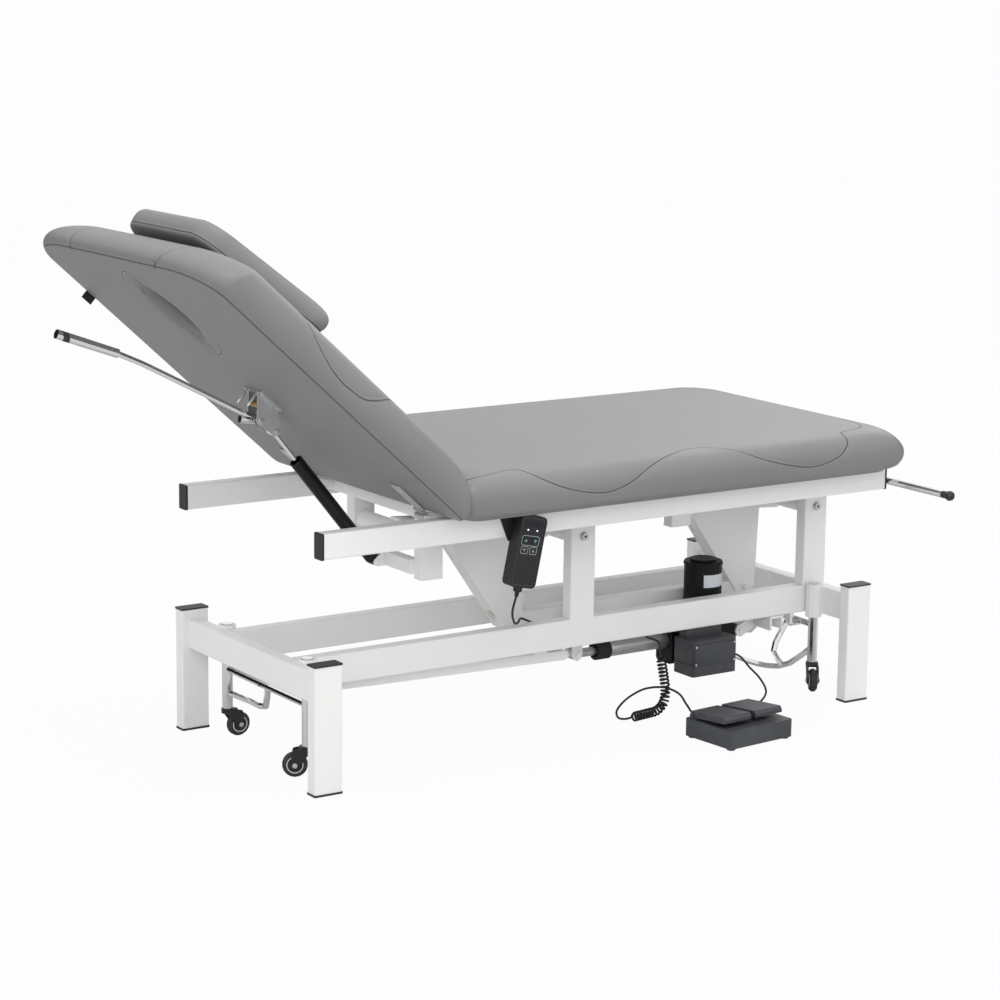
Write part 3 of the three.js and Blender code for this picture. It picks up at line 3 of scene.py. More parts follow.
import bmesh
import bpy
from mathutils import Matrix, Vector, kdtree, noise


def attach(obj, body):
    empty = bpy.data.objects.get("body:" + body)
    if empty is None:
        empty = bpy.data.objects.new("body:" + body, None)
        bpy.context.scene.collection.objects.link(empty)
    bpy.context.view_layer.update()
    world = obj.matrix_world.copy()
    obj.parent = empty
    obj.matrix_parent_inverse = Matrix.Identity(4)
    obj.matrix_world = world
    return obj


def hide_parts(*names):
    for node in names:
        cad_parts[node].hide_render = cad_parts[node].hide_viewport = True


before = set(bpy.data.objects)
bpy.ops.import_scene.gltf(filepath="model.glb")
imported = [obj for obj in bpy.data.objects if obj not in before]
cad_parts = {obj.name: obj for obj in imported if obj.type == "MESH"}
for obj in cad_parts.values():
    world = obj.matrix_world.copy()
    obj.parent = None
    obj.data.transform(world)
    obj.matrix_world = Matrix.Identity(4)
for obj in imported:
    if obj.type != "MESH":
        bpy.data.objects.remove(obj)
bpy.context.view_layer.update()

bpy.context.scene.view_settings.view_transform = "Standard"
MM = 0.001
PER_METRE = 1000

# Camera
AZIMUTH, ELEVATION, ROLL = math.radians(-33.719), math.radians(11.324), math.radians(-0.673)
CAMERA_PLACE = (-3.2685, -4.7758, 1.6149)
LENS, SENSOR_WIDE, FARTHEST = 102.558, 36, 100

level_back = math.cos(ELEVATION)
back_way = Vector((math.sin(AZIMUTH) * level_back, -math.cos(AZIMUTH) * level_back, math.sin(ELEVATION)))
right_way = (-back_way).cross(Vector((0, 0, 1))).normalized()
down_way = (-back_way).cross(right_way)
picture_x = right_way * math.cos(ROLL) + down_way * math.sin(ROLL)
picture_y = right_way * math.sin(ROLL) - down_way * math.cos(ROLL)
camera = bpy.data.objects.new("camera", bpy.data.cameras.new("camera"))
bpy.context.scene.collection.objects.link(camera)
camera.data.sensor_width = SENSOR_WIDE
camera.data.lens = LENS
camera.data.clip_end = FARTHEST
turned_camera = Matrix((picture_x, picture_y, back_way)).transposed().to_4x4()
camera.matrix_world = Matrix.Translation(CAMERA_PLACE) @ turned_camera
bpy.context.scene.camera = camera


# Shader sums
class Sum:
    """A number socket of a material, with the sums on it written as in Python."""

    def __init__(self, paint, socket):
        self.paint = paint
        self.socket = socket

    def _math(self, operation, a, b=0.0):
        return self.paint.node("ShaderNodeMath", {"operation": operation}, {0: a, 1: b})

    def __add__(self, other):
        return self._math("ADD", self, other)

    __radd__ = __add__

    def __sub__(self, other):
        return self._math("SUBTRACT", self, other)

    def __rsub__(self, other):
        return self._math("SUBTRACT", other, self)

    def __mul__(self, other):
        return self._math("MULTIPLY", self, other)

    __rmul__ = __mul__

    def __truediv__(self, other):
        return self._math("DIVIDE", self, other)

    def __gt__(self, other):
        return self._math("GREATER_THAN", self, other)

    def __lt__(self, other):
        return self._math("LESS_THAN", self, other)

    def __abs__(self):
        return self._math("ABSOLUTE", self)

    def clamp(self):
        return self.paint.node("ShaderNodeClamp", {}, {0: self})

    def step(self, low, high):
        """0 below low, 1 above high, and even between them."""
        return ((self - low) / (high - low)).clamp()

    def root(self):
        return self._math("SQRT", self)

    def above_zero(self):
        return self._math("MAXIMUM", self, 0.0)

    def fraction(self):
        return self._math("FRACT", self)


class Paint:
    """One material, built up from its nodes."""

    def __init__(self, name):
        self.material = bpy.data.materials.new(name)
        self.material.use_nodes = True
        self.tree = self.material.node_tree
        self.shader = self.tree.nodes["Principled BSDF"]
        self.place = self.node("ShaderNodeTexCoord", {}, {}, "Object")
        parts = self.tree.nodes.new("ShaderNodeSeparateXYZ")
        self.tree.links.new(self.place.socket, parts.inputs[0])
        self.x, self.y, self.z = (Sum(self, parts.outputs[i]) for i in range(3))

    def node(self, kind, settings, inputs, out=0):
        """Any node, from its type, its settings and its sockets' values or links."""
        made = self.tree.nodes.new(kind)
        for key, value in settings.items():
            setattr(made, key, value)
        for key, value in inputs.items():
            if isinstance(value, Sum):
                self.tree.links.new(value.socket, made.inputs[key])
            else:
                made.inputs[key].default_value = value
        return Sum(self, made.outputs[out])

    def noise(self, scale, detail, rough=0.55, place=None):
        inputs = {"Vector": place or self.place, "Scale": scale, "Detail": detail, "Roughness": rough}
        return self.node("ShaderNodeTexNoise", {}, inputs)

    def cells(self, scale, feature):
        inputs = {"Vector": self.place, "Scale": scale}
        return self.node("ShaderNodeTexVoronoi", {"feature": feature}, inputs, "Distance")

    def stretched(self, size):
        return self.node("ShaderNodeMapping", {}, {"Vector": self.place, "Scale": size})

    def blend(self, share, first, second):
        """A colour between two, each a tuple or a socket."""
        inputs = {0: share}
        for key, value in ((6, first), (7, second)):
            inputs[key] = value if isinstance(value, Sum) else (*value, 1)
        return self.node("ShaderNodeMix", {"data_type": "RGBA"}, inputs, 2)

    def bump(self, height, strength, depth, below=None):
        inputs = {"Height": height, "Strength": strength, "Distance": depth}
        if below:
            inputs["Normal"] = below
        return self.node("ShaderNodeBump", {}, inputs)

    def attribute(self, name):
        return self.node("ShaderNodeAttribute", {"attribute_name": name}, {}, "Fac")

    def finish(self, **sockets):
        """Sets or links the shader's own sockets, named with _ for a space."""
        for key, value in sockets.items():
            socket = self.shader.inputs[key.replace("_", " ")]
            if isinstance(value, Sum):
                self.tree.links.new(value.socket, socket)
            elif isinstance(value, tuple):
                socket.default_value = (*value, 1)
            else:
                socket.default_value = value
        return self.material


def grey(level):
    return (level, level, level)


def shaded(colour, share):
    return tuple(c * share for c in colour)


# Materials
COAT_DULL, COAT_CLEAN, COAT_SCUFFED = (0.885, 0.88, 0.872), (0.91, 0.906, 0.898), (0.55, 0.54, 0.52)
SCUFFED_BELOW = 0.25
CHROME_TINT = (0.74, 0.75, 0.77)


def powder_coat(name, black_where=None):
    """Off-white powder coat, scuffed near the floor, with black caps where the mask says so."""
    p = Paint(name)
    peel = p.noise(scale=900, detail=2)
    cloud = p.noise(scale=6, detail=3).step(0.3, 0.7)
    near_floor = 1 - p.z.step(0.0, SCUFFED_BELOW)
    scuffs = (p.noise(scale=38, detail=5, rough=0.7) * near_floor).step(0.5, 0.72)
    white = p.blend(cloud, COAT_DULL, COAT_CLEAN)
    colour = p.blend(scuffs * 0.35, white, COAT_SCUFFED)
    sheen = 0.36 + p.noise(scale=60, detail=3) * 0.12
    relief = p.bump(peel, strength=0.16, depth=0.4 * MM)
    if black_where is not None:
        mask = black_where(p)
        colour = p.blend(mask, colour, grey(0.018))
        sheen = sheen + mask * 0.12
    return p.finish(Base_Color=colour, Roughness=sheen, Normal=relief)


def black_plastic(name, level=0.011, rough=0.42, grain=1500, shine=0.5, print_on=None):
    """Near-black plastic or paint, with a legend printed on it where one is given."""
    p = Paint(name)
    spark = p.noise(scale=grain, detail=2)
    dust = p.noise(scale=14, detail=4, rough=0.65).step(0.45, 0.75)
    cool = (level * 0.94, level, level * 1.14)
    colour = p.blend(dust * 0.4, cool, shaded(cool, 2.0))
    if print_on:
        colour = print_on(p, colour)
    sheen = rough + p.noise(scale=90, detail=3) * 0.12
    relief = p.bump(spark, strength=0.2, depth=0.3 * MM)
    return p.finish(Base_Color=colour, Roughness=sheen, Normal=relief, Specular_IOR_Level=shine)


def rubber(name, level=0.022):
    """Dull black rubber with paler patches."""
    p = Paint(name)
    patches = p.noise(scale=40, detail=4).step(0.4, 0.7)
    colour = p.blend(patches, grey(level), grey(level * 1.8))
    sheen = 0.62 + p.noise(scale=160, detail=2) * 0.14
    relief = p.bump(p.noise(scale=700, detail=3), strength=0.18, depth=0.3 * MM)
    return p.finish(Base_Color=colour, Roughness=sheen, Normal=relief)


def bright_metal(name, colour, rough, brush=None, black_where=None):
    """Plated or bright metal that may be brushed, with black plastic where the mask says so."""
    p = Paint(name)
    place = p.stretched(brush) if brush else p.place
    lines = p.noise(scale=420, detail=3, rough=0.6, place=place)
    smear = p.noise(scale=9, detail=4, rough=0.6).step(0.4, 0.75)
    sheen = rough + lines * rough * 0.5 + smear * rough * 0.6
    tint = p.blend(smear * 0.5, colour, shaded(colour, 0.9))
    metal = 1.0
    if black_where is not None:
        mask = black_where(p)
        tint = p.blend(mask, tint, grey(0.02))
        sheen = sheen + mask * 0.4
        metal = 1 - mask
    relief = p.bump(lines, strength=0.05, depth=0.2 * MM)
    return p.finish(Base_Color=tint, Roughness=sheen, Metallic=metal, Normal=relief)


# Sewing, mm: a fold between two rows of stitches, on a raised welt
FOLD_HALF, ROW_OFF, ROW_HALF, WELT_HALF, STITCH_LONG = 1.7, 3.4, 0.9, 5.0, 5.2
THREAD_SHARE = 0.66


def vinyl(name, top):
    """Grained vinyl: pebbles, creases and mottling, and a welt with two rows of stitches on its seams, with
    painted shade darkening the seam's fold and its stitch holes.
    """
    p = Paint(name)
    pebbles = p.cells(scale=620, feature="SMOOTH_F1")
    creases = p.cells(scale=620, feature="DISTANCE_TO_EDGE").step(0.0, 0.16)
    fine = p.noise(scale=1700, detail=2)
    cloud = p.noise(scale=3.2, detail=4, rough=0.6).step(0.3, 0.75)
    specks = p.noise(scale=150, detail=3, rough=0.7).step(0.5, 0.8)
    off = p.attribute("seam_off") * PER_METRE
    sewn = p.attribute("seam_far") < 0.05
    stitch = (p.attribute("seam_run") * (PER_METRE / STITCH_LONG)).fraction()
    fold = (1 - abs(off) / FOLD_HALF).clamp() * sewn
    row = (1 - abs(abs(off) - ROW_OFF) / ROW_HALF).clamp() * sewn
    welt = (1 - abs(off) / WELT_HALF).clamp() * sewn
    thread = row * (stitch < THREAD_SHARE)
    hole = row * (stitch > THREAD_SHARE)
    base = p.blend(cloud, shaded(top, 0.95), shaded(top, 1.04))
    grained = p.blend((1 - creases) * 0.28, base, shaded(top, 0.72))
    handled = p.blend(specks * 0.12, grained, shaded(top, 1.15))
    threaded = p.blend(thread * 0.8, handled, shaded(top, 1.8))
    # painted shade: the seam's fold and the stitch holes are darkened as if in shadow
    colour = p.blend((fold * 0.95 + hole * 0.6).clamp(), threaded, shaded(top, 0.1))
    sheen = 0.44 + cloud * 0.08 + fine * 0.06
    grain = p.bump(creases * 0.7 + fine * 0.3 - pebbles * 0.2, strength=0.22, depth=0.6 * MM)
    soft = p.bump(p.noise(scale=22, detail=3, rough=0.5), strength=0.10, depth=4 * MM, below=grain)
    sewing_height = welt * 0.5 - fold * 0.9 - hole * 0.4 + thread * 0.15
    sewing = p.bump(sewing_height, strength=0.8, depth=1.6 * MM, below=soft)
    return p.finish(Base_Color=colour, Roughness=sheen, Normal=sewing)


def plain(name, colour, rough, glow=0.0):
    """A smooth finish of one colour that may glow."""
    p = Paint(name)
    spots = p.noise(scale=300, detail=3).step(0.4, 0.7)
    shade = p.blend(spots * 0.3, colour, shaded(colour, 0.8))
    settings = {"Base_Color": shade, "Roughness": rough + p.noise(scale=500, detail=2) * 0.08}
    if glow:
        settings["Emission_Color"] = colour
        settings["Emission_Strength"] = glow
    return p.finish(**settings)


# Hand control
HAND = Vector((-0.226, -0.306, 0.432))
HAND_TILT = math.radians(12)
HAND_FACE = HAND.y - 12 * MM

# Its print, and a painted highlight along its face's rim, mm: each outline has its middle across and up,
# half sizes, corner and line
KEY_OFF, KEY_HIGH, ROW_HIGH = 10.5, 3, 22
KEY_ROW, FACE_RIM_HIGHLIGHT = (0, ROW_HIGH, 20, 9.5, 4, 0.45), (0, 0, 25.5, 66, 5, 0.35)
KEY_LEFT, KEY_RIGHT = ((u, KEY_HIGH, 8, 7, 2.5, 0.4) for u in (-KEY_OFF, KEY_OFF))
WINDOW_MID_V, WINDOW_HALF_U, WINDOW_HALF_V = 54, 20, 5
ARROW_OFF, ARROW_TIP, ARROW_FOOT, ARROW_SLOPE = 11, 3.2, -2.6, 0.6
RIM_HIGHLIGHT_GREY, WINDOW_BLACK = (0.30, 0.31, 0.34), (0.006, 0.008, 0.016)
PRINT_WHITE, PRINT_GREEN = (0.66, 0.72, 0.74), (0.22, 0.55, 0.47)
PRINT_SHARE = 0.7


def legend(p, under):
    """Outlines, a window and arrows printed on the hand control's face, and a painted highlight along its
    face's rim; the maker's place stays bare.
    """
    across, up = p.x - HAND.x, p.z - HAND.z
    u = (across * math.cos(HAND_TILT) - up * math.sin(HAND_TILT)) * PER_METRE
    v = (across * math.sin(HAND_TILT) + up * math.cos(HAND_TILT)) * PER_METRE

    def outline(mid_u, mid_v, half_u, half_v, corner, line):
        a = (abs(u - mid_u) - (half_u - corner)).above_zero()
        b = (abs(v - mid_v) - (half_v - corner)).above_zero()
        return abs((a * a + b * b).root() - corner) < line

    def arrow(mid_u, mid_v, way):
        rise = (v - mid_v) * way
        return (abs(u - mid_u) < (ARROW_TIP - rise) * ARROW_SLOPE) * (rise > ARROW_FOOT)

    front = p.y < HAND_FACE
    lines = outline(*KEY_ROW) + outline(*KEY_LEFT) + outline(*KEY_RIGHT)
    window = (abs(u) < WINDOW_HALF_U) * (abs(v - WINDOW_MID_V) < WINDOW_HALF_V)
    arrows = arrow(-ARROW_OFF, ROW_HIGH, 1) + arrow(ARROW_OFF, ROW_HIGH, -1)
    marks = arrow(-KEY_OFF, KEY_HIGH, -1) + arrow(KEY_OFF, KEY_HIGH, 1)
    # painted highlight: a paler grey line along the face's rim stands for the light on its edge
    rim_highlighted = p.blend(outline(*FACE_RIM_HIGHLIGHT).clamp() * 0.35 * front, under, RIM_HIGHLIGHT_GREY)
    glazed = p.blend(window * front, rim_highlighted, WINDOW_BLACK)
    lined = p.blend((lines + marks * 0.6).clamp() * PRINT_SHARE * front, glazed, PRINT_WHITE)
    return p.blend(arrows.clamp() * PRINT_SHARE * front, lined, PRINT_GREEN)


# The motor's label, and painted shade in stripes for the slots under its lid
MOTOR_X, MOTOR_Y = 0.398, -0.068
LABEL_X, LABEL_Z, LABEL_HALF_WIDE, LABEL_HALF_HIGH = MOTOR_X + 0.005, 0.259, 0.028, 0.0135
VENTS_ABOVE, VENTS_PER_MM, VENT_SHARE = 0.2978, 0.22, 0.4


def rating_plate(p, under):
    """A blank pale label round the near side of the motor, and near-black stripes near its top as painted
    shade for the vent slots.
    """
    across = abs(p.x - LABEL_X) < LABEL_HALF_WIDE
    up = abs(p.z - LABEL_Z) < LABEL_HALF_HIGH
    vent = ((p.x - MOTOR_X) * PER_METRE * VENTS_PER_MM).fraction() < VENT_SHARE
    # painted shade: near-black stripes darken the vent slots as if in shadow
    vent_shaded = p.blend((p.z > VENTS_ABOVE) * vent * 0.9, under, grey(0.0015))
    return p.blend(across * (p.y < MOTOR_Y) * up, vent_shaded, (0.62, 0.65, 0.68))


# Where black plastic begins or ends on a piece that is painted or plated elsewhere
CAP_FROM, COLLAR_TO, BALL_TO = 0.2522, 0.1482, -0.4555
GRIP_BAND_FROM, GRIP_BAND_TO = -1.056, -1.043
coat = powder_coat("powder_coat")
end_coat = powder_coat("powder_coat_capped_legs", lambda p: p.z > CAP_FROM)
plastic = black_plastic("moulded_black")
hand_plastic = black_plastic("hand_control_black", 0.014, 0.38, grain=2200, shine=0.4, print_on=legend)
box_plastic = black_plastic("box_and_pedal_black", 0.048, 0.33, grain=900)
tube_paint = bright_metal("drive_tube_silver", (0.70, 0.70, 0.72), 0.34, None, lambda p: p.x < COLLAR_TO)
motor_paint = black_plastic("motor_black", 0.005, 0.45, grain=900, shine=0.22, print_on=rating_plate)
gas_paint = black_plastic("gas_spring_paint", 0.004, 0.3, grain=600, shine=0.3)
tyre = rubber("tyre_rubber")
sheath = rubber("cable_sheath", 0.014)
pad_rubber = rubber("leg_foot_rubber", 0.03)
chrome = bright_metal("chrome_plate", CHROME_TINT, 0.04)
bar_chrome = bright_metal("roll_bar_chrome", CHROME_TINT, 0.06, black_where=lambda p: p.y < BALL_TO)
grip_chrome = bright_metal(
    "grip_chrome", CHROME_TINT, 0.06, black_where=lambda p: (p.x < GRIP_BAND_TO) * (p.x > GRIP_BAND_FROM)
)
yoke_chrome = bright_metal("yoke_chrome", (0.78, 0.785, 0.80), 0.05)
brass = bright_metal("brass_bush", (0.45, 0.30, 0.13), 0.28)
# painted highlight: a paler steel for the strips that stand for light on the bracket's edges
edge_highlight_steel = bright_metal("bright_steel_painted_highlight", (0.85, 0.85, 0.86), 0.22)
hub_white = plain("wheel_hub_white", (0.70, 0.71, 0.72), 0.35)
lamp_white = plain("lamp_white", (0.9, 0.95, 1.0), 0.3, glow=0.7)
tag_cloth = plain("tag_cloth", (0.012, 0.012, 0.014), 0.7)
zinc = bright_metal("zinc_plate", (0.62, 0.63, 0.64), 0.30, brush=(1, 8, 8))
seat_vinyl = vinyl("seat_vinyl", (0.228, 0.229, 0.233))
back_vinyl = vinyl("back_vinyl", (0.220, 0.221, 0.225))
pillow_vinyl = vinyl("pillow_vinyl", (0.224, 0.225, 0.229))


def dress(material, *names):
    for name in names:
        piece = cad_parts[name]
        piece.data.materials.clear()
        piece.data.materials.append(material)


QUARTERS = ("head_near", "head_far", "foot_near", "foot_far")


def each(stem):
    return [stem + quarter for quarter in QUARTERS]


dress(end_coat, "end_frame_head", "end_frame_foot")
dress(coat, "side_rail_near", "side_rail_far", "drive_channel", "brace_bar", "upper_frame")
dress(coat, "lift_arm_head", "lift_arm_foot", "sync_beam")
dress(pad_rubber, *each("foot_"))
dress(plastic, "hand_clip", *each("rail_cap_"), *each("fork_"))
dress(box_plastic, "control_box", "foot_switch", "foot_pedal_left", "foot_pedal_right")
dress(motor_paint, "drive_motor")
dress(hand_plastic, "hand_control", "hand_button_up", "hand_button_down")
dress(gas_paint, "gas_cylinder")
dress(chrome, "release_lever", "gas_rod")
dress(bar_chrome, "roll_bar")
dress(grip_chrome, "lever_grip")
dress(yoke_chrome, "castor_yoke_head", "castor_yoke_foot")
dress(zinc, "pivot_axle_head", "pivot_axle_foot", "drive_rod")
dress(tube_paint, "drive_tube")
dress(zinc, "hinge_strap_near", "hinge_strap_far", "gas_bracket")
dress(tyre, *each("wheel_"))


# Making pieces
def make(name, spots, faces, material):
    """A smooth mesh from its points and faces, with its faces turned outwards."""
    mesh = bpy.data.meshes.new(name)
    mesh.from_pydata([tuple(s) for s in spots], [], faces)
    mesh.materials.append(material)
    piece = bpy.data.objects.new(name, mesh)
    bpy.context.scene.collection.objects.link(piece)
    work = bmesh.new()
    work.from_mesh(mesh)
    bmesh.ops.recalc_face_normals(work, faces=work.faces)
    work.to_mesh(mesh)
    work.free()
    mesh.polygons.foreach_set("use_smooth", [True] * len(mesh.polygons))
    return piece


def mark_points(piece, marks):
    """Writes numbers for each point of a mesh, one list for each attribute."""
    for label, values in marks.items():
        piece.data.attributes.new(label, "FLOAT", "POINT").data.foreach_set("value", values)


def wall_between(levels, count):
    """The faces that join rings of so many points, level by level."""
    faces = []
    for r in range(levels - 1):
        for i in range(count):
            j = (i + 1) % count
            faces.append((r * count + i, r * count + j, (r + 1) * count + j, (r + 1) * count + i))
    return faces


def apply_all(piece):
    bpy.ops.object.select_all(action="DESELECT")
    piece.select_set(True)
    bpy.context.view_layer.objects.active = piece
    for change in list(piece.modifiers):
        bpy.ops.object.modifier_apply(modifier=change.name)


# Lines
def smooth_line(points, per_span=12, scale=MM):
    """Points on the centripetal spline through the route's points."""
    spots = [Vector(p) * scale for p in points]
    spots = [spots[0] * 2 - spots[1], *spots, spots[-1] * 2 - spots[-2]]
    line = []
    for i in range(1, len(spots) - 2):
        p0, p1, p2, p3 = spots[i - 1:i + 3]
        t0 = 0.0
        t1 = t0 + (p1 - p0).length ** 0.5
        t2 = t1 + (p2 - p1).length ** 0.5
        t3 = t2 + (p3 - p2).length ** 0.5
        for k in range(per_span):
            t = t1 + (t2 - t1) * k / per_span
            a1 = p0.lerp(p1, (t - t0) / (t1 - t0))
            a2 = p1.lerp(p2, (t - t1) / (t2 - t1))
            a3 = p2.lerp(p3, (t - t2) / (t3 - t2))
            b1 = a1.lerp(a2, (t - t0) / (t2 - t0))
            b2 = a2.lerp(a3, (t - t1) / (t3 - t1))
            line.append(b1.lerp(b2, (t - t1) / (t2 - t1)))
    line.append(spots[-2])
    return line


def length_of(line):
    return sum((b - a).length for a, b in zip(line, line[1:]))


def even(line, step):
    """The same line with its points a step apart."""
    total = length_of(line)
    count = max(2, round(total / step))
    out, walked, i = [line[0].copy()], 0.0, 0
    for k in range(1, count):
        want = total * k / count
        while walked + (line[i + 1] - line[i]).length < want:
            walked += (line[i + 1] - line[i]).length
            i += 1
        out.append(line[i].lerp(line[i + 1], (want - walked) / (line[i + 1] - line[i]).length))
    out.append(line[-1].copy())
    return out


def ease(value):
    """0 below 0, 1 above 1, and a soft curve between them."""
    value = max(0.0, min(1.0, value))
    return value * value * (3 - 2 * value)


# Leads: plain numbers are mm, and the rest are metres
HAND_BODY_LOW, RELIEF_LONG, LEAD_GAP = 71, 20, 0.3
SWITCH_X, SWITCH_Y, SWITCH_YAW = 261.3, -375.5, math.radians(5)
SWITCH_LONG, SWITCH_DEEP, SWITCH_LEAD_HIGH = 172, 137, 22.5
BUSH_LONG = 4.4
HAND_LEAD_SHARE, BOX_LEAD_SHARE = -0.1, 0.25
CURLS, CURL_STEPS, CURL_WIDE, CURL_WIRE = 25, 28, 22 * MM, 5 * MM
CURL_SWELL, LOOK_AHEAD = 1.2, 4
WIRE, BOX_WIRE = 4.6 * MM, 4.4 * MM
ROUTE_STEP, COIL_STEP = 4 * MM, 0.5 * MM

hand_tail = Vector((0, 0, -HAND_BODY_LOW - RELIEF_LONG - LEAD_GAP))
hand_tail.rotate(Matrix.Rotation(HAND_TILT, 3, "Y"))
hand_tail = hand_tail + HAND * PER_METRE
hand_route = [
    tuple(hand_tail), (-251, -303, 315), (-225, -270, 282), (-165, -196, 258), (-110, -128, 245),
    (-62, -104, 225), (20, -102, 208), (130, -103, 196), (196, -107, 184), (214, -118, 163),
    (225, -142, 157), (226.6, -147.1, 150), (227.95, -147.97, 138.35),
]
coil_route = [
    (228, -148, 138), (231, -150, 112), (237, -151, 80), (240, -153, 50), (232, -158, 27),
    (212, -163, 14.2), (185, -167, 12.6), (155, -172, 12.6), (128, -177, 12.6),
]
foot_route = [
    (127.66, -177.06, 12.6), (120.1, -178.5, 12.6), (110, -170, 13), (122, -142, 17), (150, -118, 24),
    (190, -100, 34), (232, -96, 43), (268, -112, 44), (284, -140, 36), (272, -185, 24),
    (252, -240, 15), (246, -285, 13),
]
box_route = [
    (406.3, -158, 107), (420, -158, 107), (434, -161, 99), (446, -175, 79), (450, -205, 62),
    (428, -256, 44), (386, -280, 30), (350, -286, 24), (318, -289, 22.5),
]


def into_switch(route, share):
    """Ends a route straight into the foot switch's rear wall, at a share of its length from its middle."""
    u = SWITCH_LONG * share
    ends = []
    for out in (SWITCH_DEEP / 2 + BUSH_LONG, SWITCH_DEEP / 2 + LEAD_GAP):
        x = SWITCH_X + u * math.cos(SWITCH_YAW) - out * math.sin(SWITCH_YAW)
        y = SWITCH_Y + u * math.sin(SWITCH_YAW) + out * math.cos(SWITCH_YAW)
        ends.append((x, y, SWITCH_LEAD_HIGH))
    return [*route, *ends]


def curls_round(line):
    """The curly stretch: a helix about a line, whose curls grow from nothing at both its ends."""
    count = CURLS * CURL_STEPS
    margin = 2 * CURL_WIRE / length_of(line)
    curled, across_way = [], Vector((1, 0, 0))
    for i in range(count + 1):
        t = margin + (1 - 2 * margin) * i / count
        at = t * (len(line) - 1)
        j = min(len(line) - 2, int(at))
        spot = line[j].lerp(line[j + 1], at - j)
        ahead, behind = line[min(len(line) - 1, j + LOOK_AHEAD)], line[max(0, j - LOOK_AHEAD)]
        along = (ahead - behind).normalized()
        across_way = (across_way - along * across_way.dot(along)).normalized()
        up = along.cross(across_way)
        angle = math.tau * i / CURL_STEPS
        swell = ease(min(i * CURL_SWELL / CURL_STEPS, (count - i) * CURL_SWELL / CURL_STEPS))
        reach = (CURL_WIDE - CURL_WIRE) / 2 * swell
        curled.append(spot + across_way * reach * math.cos(angle) + up * reach * math.sin(angle))
    return curled


def lead(name, line, width, *nodes):
    """A round cord along a line, in place of the CAD's nodes."""
    curve = bpy.data.curves.new(name, "CURVE")
    curve.dimensions = "3D"
    curve.bevel_depth = width / 2
    curve.bevel_resolution = 3
    curve.use_fill_caps = True
    spline = curve.splines.new("POLY")
    spline.points.add(len(line) - 1)
    for dot, spot in zip(spline.points, line):
        dot.co = (*spot, 1)
    spline.use_smooth = True
    curve.materials.append(sheath)
    piece = bpy.data.objects.new(name, curve)
    bpy.context.scene.collection.objects.link(piece)
    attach(piece, "base")
    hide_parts(*nodes)
    length_of(line)


first_stretch = even(smooth_line(hand_route), ROUTE_STEP)
curly_stretch = curls_round(even(smooth_line(coil_route), COIL_STEP))
last_stretch = even(smooth_line(into_switch(foot_route, HAND_LEAD_SHARE)), ROUTE_STEP)
hand_line = [*first_stretch[:-1], *curly_stretch, *last_stretch[1:]]
lead("hand_lead_cable", hand_line, WIRE, "hand_lead", "curly_lead", "foot_lead")
box_line = even(smooth_line(into_switch(box_route, BOX_LEAD_SHARE)), ROUTE_STEP)
lead("box_lead_cable", box_line, BOX_WIRE, "box_lead")

# Cushions: a seam's marks reach as far as NEAR from it
NEAR, SEAM_STEP, PULL_WIDE = 12 * MM, 0.5 * MM, 8 * MM


class Seams:
    """Sewn lines on an unrolled cushion: how far a spot is off the nearest, and how far along it."""

    def __init__(self, lines):
        self.rows = []
        for line in lines:
            dots = even(line, SEAM_STEP)
            run = 0.0
            for a, b in zip(dots, dots[1:]):
                way = (b - a).normalized()
                self.rows.append((a, way, run))
                run += (b - a).length
        self.tree = kdtree.KDTree(len(self.rows))
        for i, (dot, _, _) in enumerate(self.rows):
            self.tree.insert(dot, i)
        self.tree.balance()

    def look(self, walk, arc):
        spot = Vector((walk, arc, 0))
        _, i, away = self.tree.find(spot)
        dot, way, run = self.rows[i]
        above = way.x * (spot.y - dot.y) - way.y * (spot.x - dot.x)
        return (away if above >= 0 else -away), run


